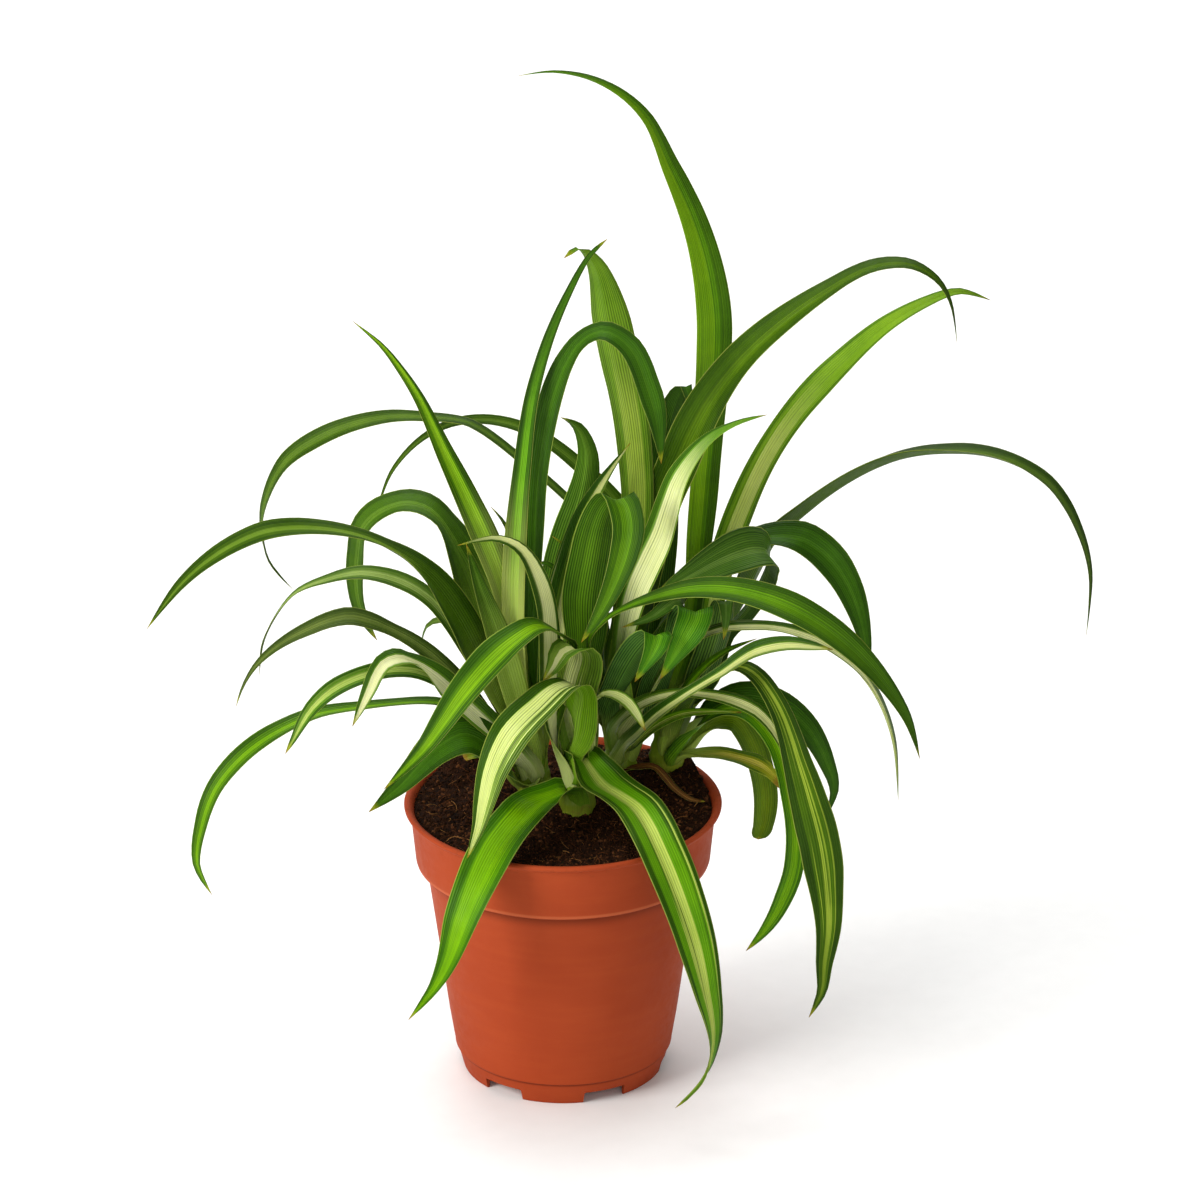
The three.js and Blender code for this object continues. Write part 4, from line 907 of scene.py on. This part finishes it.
def soil_finish(name, dark, mid, light, scale):
    finish, tree, shader = new_finish(name)
    place = node(tree, "ShaderNodeTexCoord").outputs["Object"]
    tone = noted(tree, "tone")
    clod = grain(tree, place, scale, 6.0, 0.65)
    fleck = grain(tree, place, scale * 4.5, 4.0, 0.7)
    colour = blend(tree, ramp(tree, clod, 0.35, 0.65), dark, mid)
    colour = blend(tree, ramp(tree, fleck, 0.62, 0.74, 0.0, 0.8), colour, light)
    colour = blend(tree, ramp(tree, tone, 0.72, 1.0, 0.0, 0.8), colour, light)
    colour = blend(tree, ramp(tree, tone, 0.3, 0.0, 0.0, 0.7), colour, dark)
    relief = sums(tree, "ADD", clod, times(tree, fleck, 0.6))
    wire(
        tree, shader, Base_Color=colour, Roughness=ramp(tree, clod, 0.3, 0.7, 0.8, 0.97),
        Normal=raised(tree, relief, 0.0011, 1.0), Specular_IOR_Level=0.06,
    )
    return finish


PEAT = soil_finish("damp_peat", shade(22, 12, 6), shade(54, 30, 16), shade(100, 62, 36), 260)
CRUMB = soil_finish("peat_crumb", shade(24, 13, 7), shade(58, 33, 17), shade(114, 70, 40), 420)
FIBRE = soil_finish("peat_fibre", shade(60, 32, 14), shade(98, 56, 28), shade(176, 124, 70), 300)

SOIL_RINGS, SOIL_SECTORS = 64, 176
RING_SPREAD = 0.85              # under 1, the rings stand closer towards the wall
CROWN_CLEAR = 11                # millimetres from a crown's axis within which its own level holds
LUMPS = (15, 1.5), (6.5, 1.5), (3.0, 0.9), (1.5, 0.45)      # sizes and heights in millimetres
AROUND = (0, 0), (1, 0), (-1, 0), (0, 1), (0, -1)           # where a level is averaged, likewise
# Under its top, the soil's side: how far in from the wall, in millimetres, and how high.
SOIL_SIDE = (1.6, 0.112), (6.5, 0.105)
SOIL_FOOT_IN = 21.9


def soil_surface():
    """Peat pressed in round the crowns, lumpy, and settled lower at the wall."""
    work = merged_copy("soil")
    tree = BVHTree.FromBMesh(work)
    work.free()
    low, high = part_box("soil")
    edge = high.x - 0.2 * MM

    def level(x, y):
        spot = Vector((x, y))
        for axis, _ in CROWN_AXES:
            off = spot - axis.xy
            if off.length < CROWN_CLEAR * MM:
                way = off.normalized() if off.length > 1e-6 else Vector((1, 0))
                spot = axis.xy + way * CROWN_CLEAR * MM
        hit = tree.ray_cast(Vector((spot.x, spot.y, high.z + 0.05)), Vector((0, 0, -1)))[0]
        return hit.z if hit else high.z - 12 * MM

    def lumps(x, y):
        total = 0
        for size, height in LUMPS:
            total += height * noise.noise(Vector((x, y, size * MM)) / (size * MM))
        return total * MM

    points = []
    for ring in range(1, SOIL_RINGS + 1):
        radius = edge * (ring / SOIL_RINGS) ** RING_SPREAD
        for k in range(SOIL_SECTORS):
            angle = 2 * math.pi * k / SOIL_SECTORS
            x, y = radius * math.cos(angle), radius * math.sin(angle)
            near = [(x + dx * MM, y + dy * MM) for dx, dy in AROUND]
            around = [level(*spot) for spot in near if math.hypot(*spot) < edge]
            around = around or [level(x * 0.98, y * 0.98)]
            fade = 1 - 0.6 * max(0, radius / edge - 0.9) / 0.1
            points.append((x, y, sum(around) / len(around) + lumps(x, y) * fade))
    middle = len(points)
    points.append((0, 0, level(0, 0) + lumps(0, 0)))
    faces = [(middle, k, (k + 1) % SOIL_SECTORS) for k in range(SOIL_SECTORS)]
    for ring in range(SOIL_RINGS - 1):
        for k in range(SOIL_SECTORS):
            a, b = ring * SOIL_SECTORS + k, ring * SOIL_SECTORS + (k + 1) % SOIL_SECTORS
            faces.append((a, a + SOIL_SECTORS, b + SOIL_SECTORS, b))
    return points, faces, low.z


FULL_TURN = 6.283
ANY_WAY = (0, 0, 0), (FULL_TURN, FULL_TURN, FULL_TURN)      # how far bits turn about each axis
LYING = (-0.5, -0.5, 0), (0.5, 0.5, FULL_TURN)
DENSEST = 3e6                   # bits on a square metre, before Spacing thins them
SIZE_BIAS = 2.2                 # over 1, small bits outnumber large ones


def scatter_tree(name, finish, shape, turns):
    """A node tree that strews shape over the faces of a surface.

    Its inputs are Spacing, Smallest, Largest, Share and Seed. Each bit carries its own tone."""
    tree = bpy.data.node_groups.new(name, "GeometryNodeTree")
    face = tree.interface
    face.new_socket("Surface", in_out="INPUT", socket_type="NodeSocketGeometry")
    for label, kind in (("Spacing", "NodeSocketFloat"), ("Smallest", "NodeSocketFloat"),
                        ("Largest", "NodeSocketFloat"), ("Share", "NodeSocketFloat"),
                        ("Seed", "NodeSocketInt")):
        face.new_socket(label, in_out="INPUT", socket_type=kind)
    face.new_socket("Strewn", in_out="OUTPUT", socket_type="NodeSocketGeometry")
    start = node(tree, "NodeGroupInput").outputs
    spread = node(tree, "GeometryNodeDistributePointsOnFaces", {
        "Mesh": start["Surface"], "Distance Min": start["Spacing"], "Density Max": DENSEST,
        "Density Factor": start["Share"], "Seed": start["Seed"],
    }, distribute_method="POISSON")

    def dice(low, high, shift, kind="FLOAT"):
        seed = sums(tree, "ADD", start["Seed"], shift)
        made = node(tree, "FunctionNodeRandomValue", {"Seed": seed}, data_type=kind)
        slots = {"FLOAT": (2, 3, 1), "FLOAT_VECTOR": (0, 1, 0)}[kind]
        for place, value in zip(slots[:2], (low, high)):
            if isinstance(value, bpy.types.NodeSocket):
                tree.links.new(value, made.inputs[place])
            else:
                made.inputs[place].default_value = value
        return made.outputs[slots[2]]

    bit = shape(tree)
    turn = dice(*turns, 1, "FLOAT_VECTOR")
    turn = node(tree, "FunctionNodeEulerToRotation", {0: turn}).outputs[0]
    size = sums(tree, "POWER", dice(0.0, 1.0, 2), SIZE_BIAS)
    size = node(tree, "ShaderNodeMapRange", {
        "Value": size, "To Min": start["Smallest"], "To Max": start["Largest"]}).outputs[0]
    stretch = dice((0.7, 0.7, 0.5), (1.3, 1.3, 1.0), 3, "FLOAT_VECTOR")
    scale = node(tree, "ShaderNodeVectorMath", {0: stretch, "Scale": size}, operation="SCALE")
    strewn = node(tree, "GeometryNodeInstanceOnPoints", {
        "Points": spread.outputs["Points"], "Instance": bit, "Rotation": turn,
        "Scale": scale.outputs[0],
    }).outputs[0]
    toned = node(tree, "GeometryNodeStoreNamedAttribute", {
        "Geometry": strewn, "Name": "tone", "Value": dice(0.0, 1.0, 4)}, data_type="FLOAT",
        domain="INSTANCE").outputs[0]
    whole = node(tree, "GeometryNodeRealizeInstances", {"Geometry": toned}).outputs[0]
    painted = node(tree, "GeometryNodeSetMaterial", {"Geometry": whole, "Material": finish})
    end = node(tree, "NodeGroupOutput")
    tree.links.new(painted.outputs[0], end.inputs[0])
    return tree


def crumb_shape(tree):
    return node(tree, "GeometryNodeMeshIcoSphere", {"Radius": 0.5, "Subdivisions": 1}).outputs[0]


def fibre_shape(tree):
    line = node(tree, "GeometryNodeCurveQuadraticBezier", {
        "Resolution": 5, "Start": (-0.5, 0, 0.02), "Middle": (0.05, 0.35, 0.16),
        "End": (0.5, -0.05, 0.03),
    }).outputs[0]
    thread = node(tree, "GeometryNodeCurvePrimitiveCircle", {"Resolution": 4, "Radius": 0.028})
    return node(tree, "GeometryNodeCurveToMesh", {
        "Curve": line, "Profile Curve": thread.outputs[0], "Fill Caps": True}).outputs[0]


def strew(name, tree, points, faces, values):
    """A piece of bits strewn by a tree over ground that doesn't stay."""
    ground = piece_of(name + "_ground", points, faces, PEAT)
    maker = ground.modifiers.new(name, "NODES")
    maker.node_group = tree
    for item in tree.interface.items_tree:
        if item.in_out == "INPUT" and item.name in values:
            maker[item.identifier] = values[item.name]
    strewn = as_made(ground, name)
    settle(strewn, "potting_soil")


def fill_pot():
    points, faces, bottom = soil_surface()
    top_points, top_faces = list(points), list(faces)
    edge_ring = (SOIL_RINGS - 1) * SOIL_SECTORS
    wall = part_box("soil")[1].x
    for inward, height in (*SOIL_SIDE, (SOIL_FOOT_IN, bottom)):
        radius = wall - inward * MM
        ring = len(points)
        for k in range(SOIL_SECTORS):
            angle = 2 * math.pi * k / SOIL_SECTORS
            points.append((radius * math.cos(angle), radius * math.sin(angle), height))
        for k in range(SOIL_SECTORS):
            following = (k + 1) % SOIL_SECTORS
            faces.append((edge_ring + k, ring + k, ring + following, edge_ring + following))
        edge_ring = ring
    middle = len(points)
    points.append((0, 0, bottom))
    for k in range(SOIL_SECTORS):
        faces.append((middle, edge_ring + (k + 1) % SOIL_SECTORS, edge_ring + k))
    soil = piece_of("soil_bed", points, faces, PEAT)
    point_value(soil, "tone", np.full(len(points), 0.5))
    settle(soil, "potting_soil", "soil")
    crumbs = scatter_tree("strew_crumbs", CRUMB, crumb_shape, ANY_WAY)
    strew("soil_crumbs", crumbs, top_points, top_faces, {
        "Spacing": 1.2 * MM, "Smallest": 0.6 * MM, "Largest": 2.6 * MM, "Share": 1.0, "Seed": 11})
    fibres = scatter_tree("strew_fibres", FIBRE, fibre_shape, LYING)
    strew("soil_fibres", fibres, top_points, top_faces, {
        "Spacing": 2.3 * MM, "Smallest": 1.5 * MM, "Largest": 8.0 * MM, "Share": 0.8, "Seed": 5})


fill_pot()
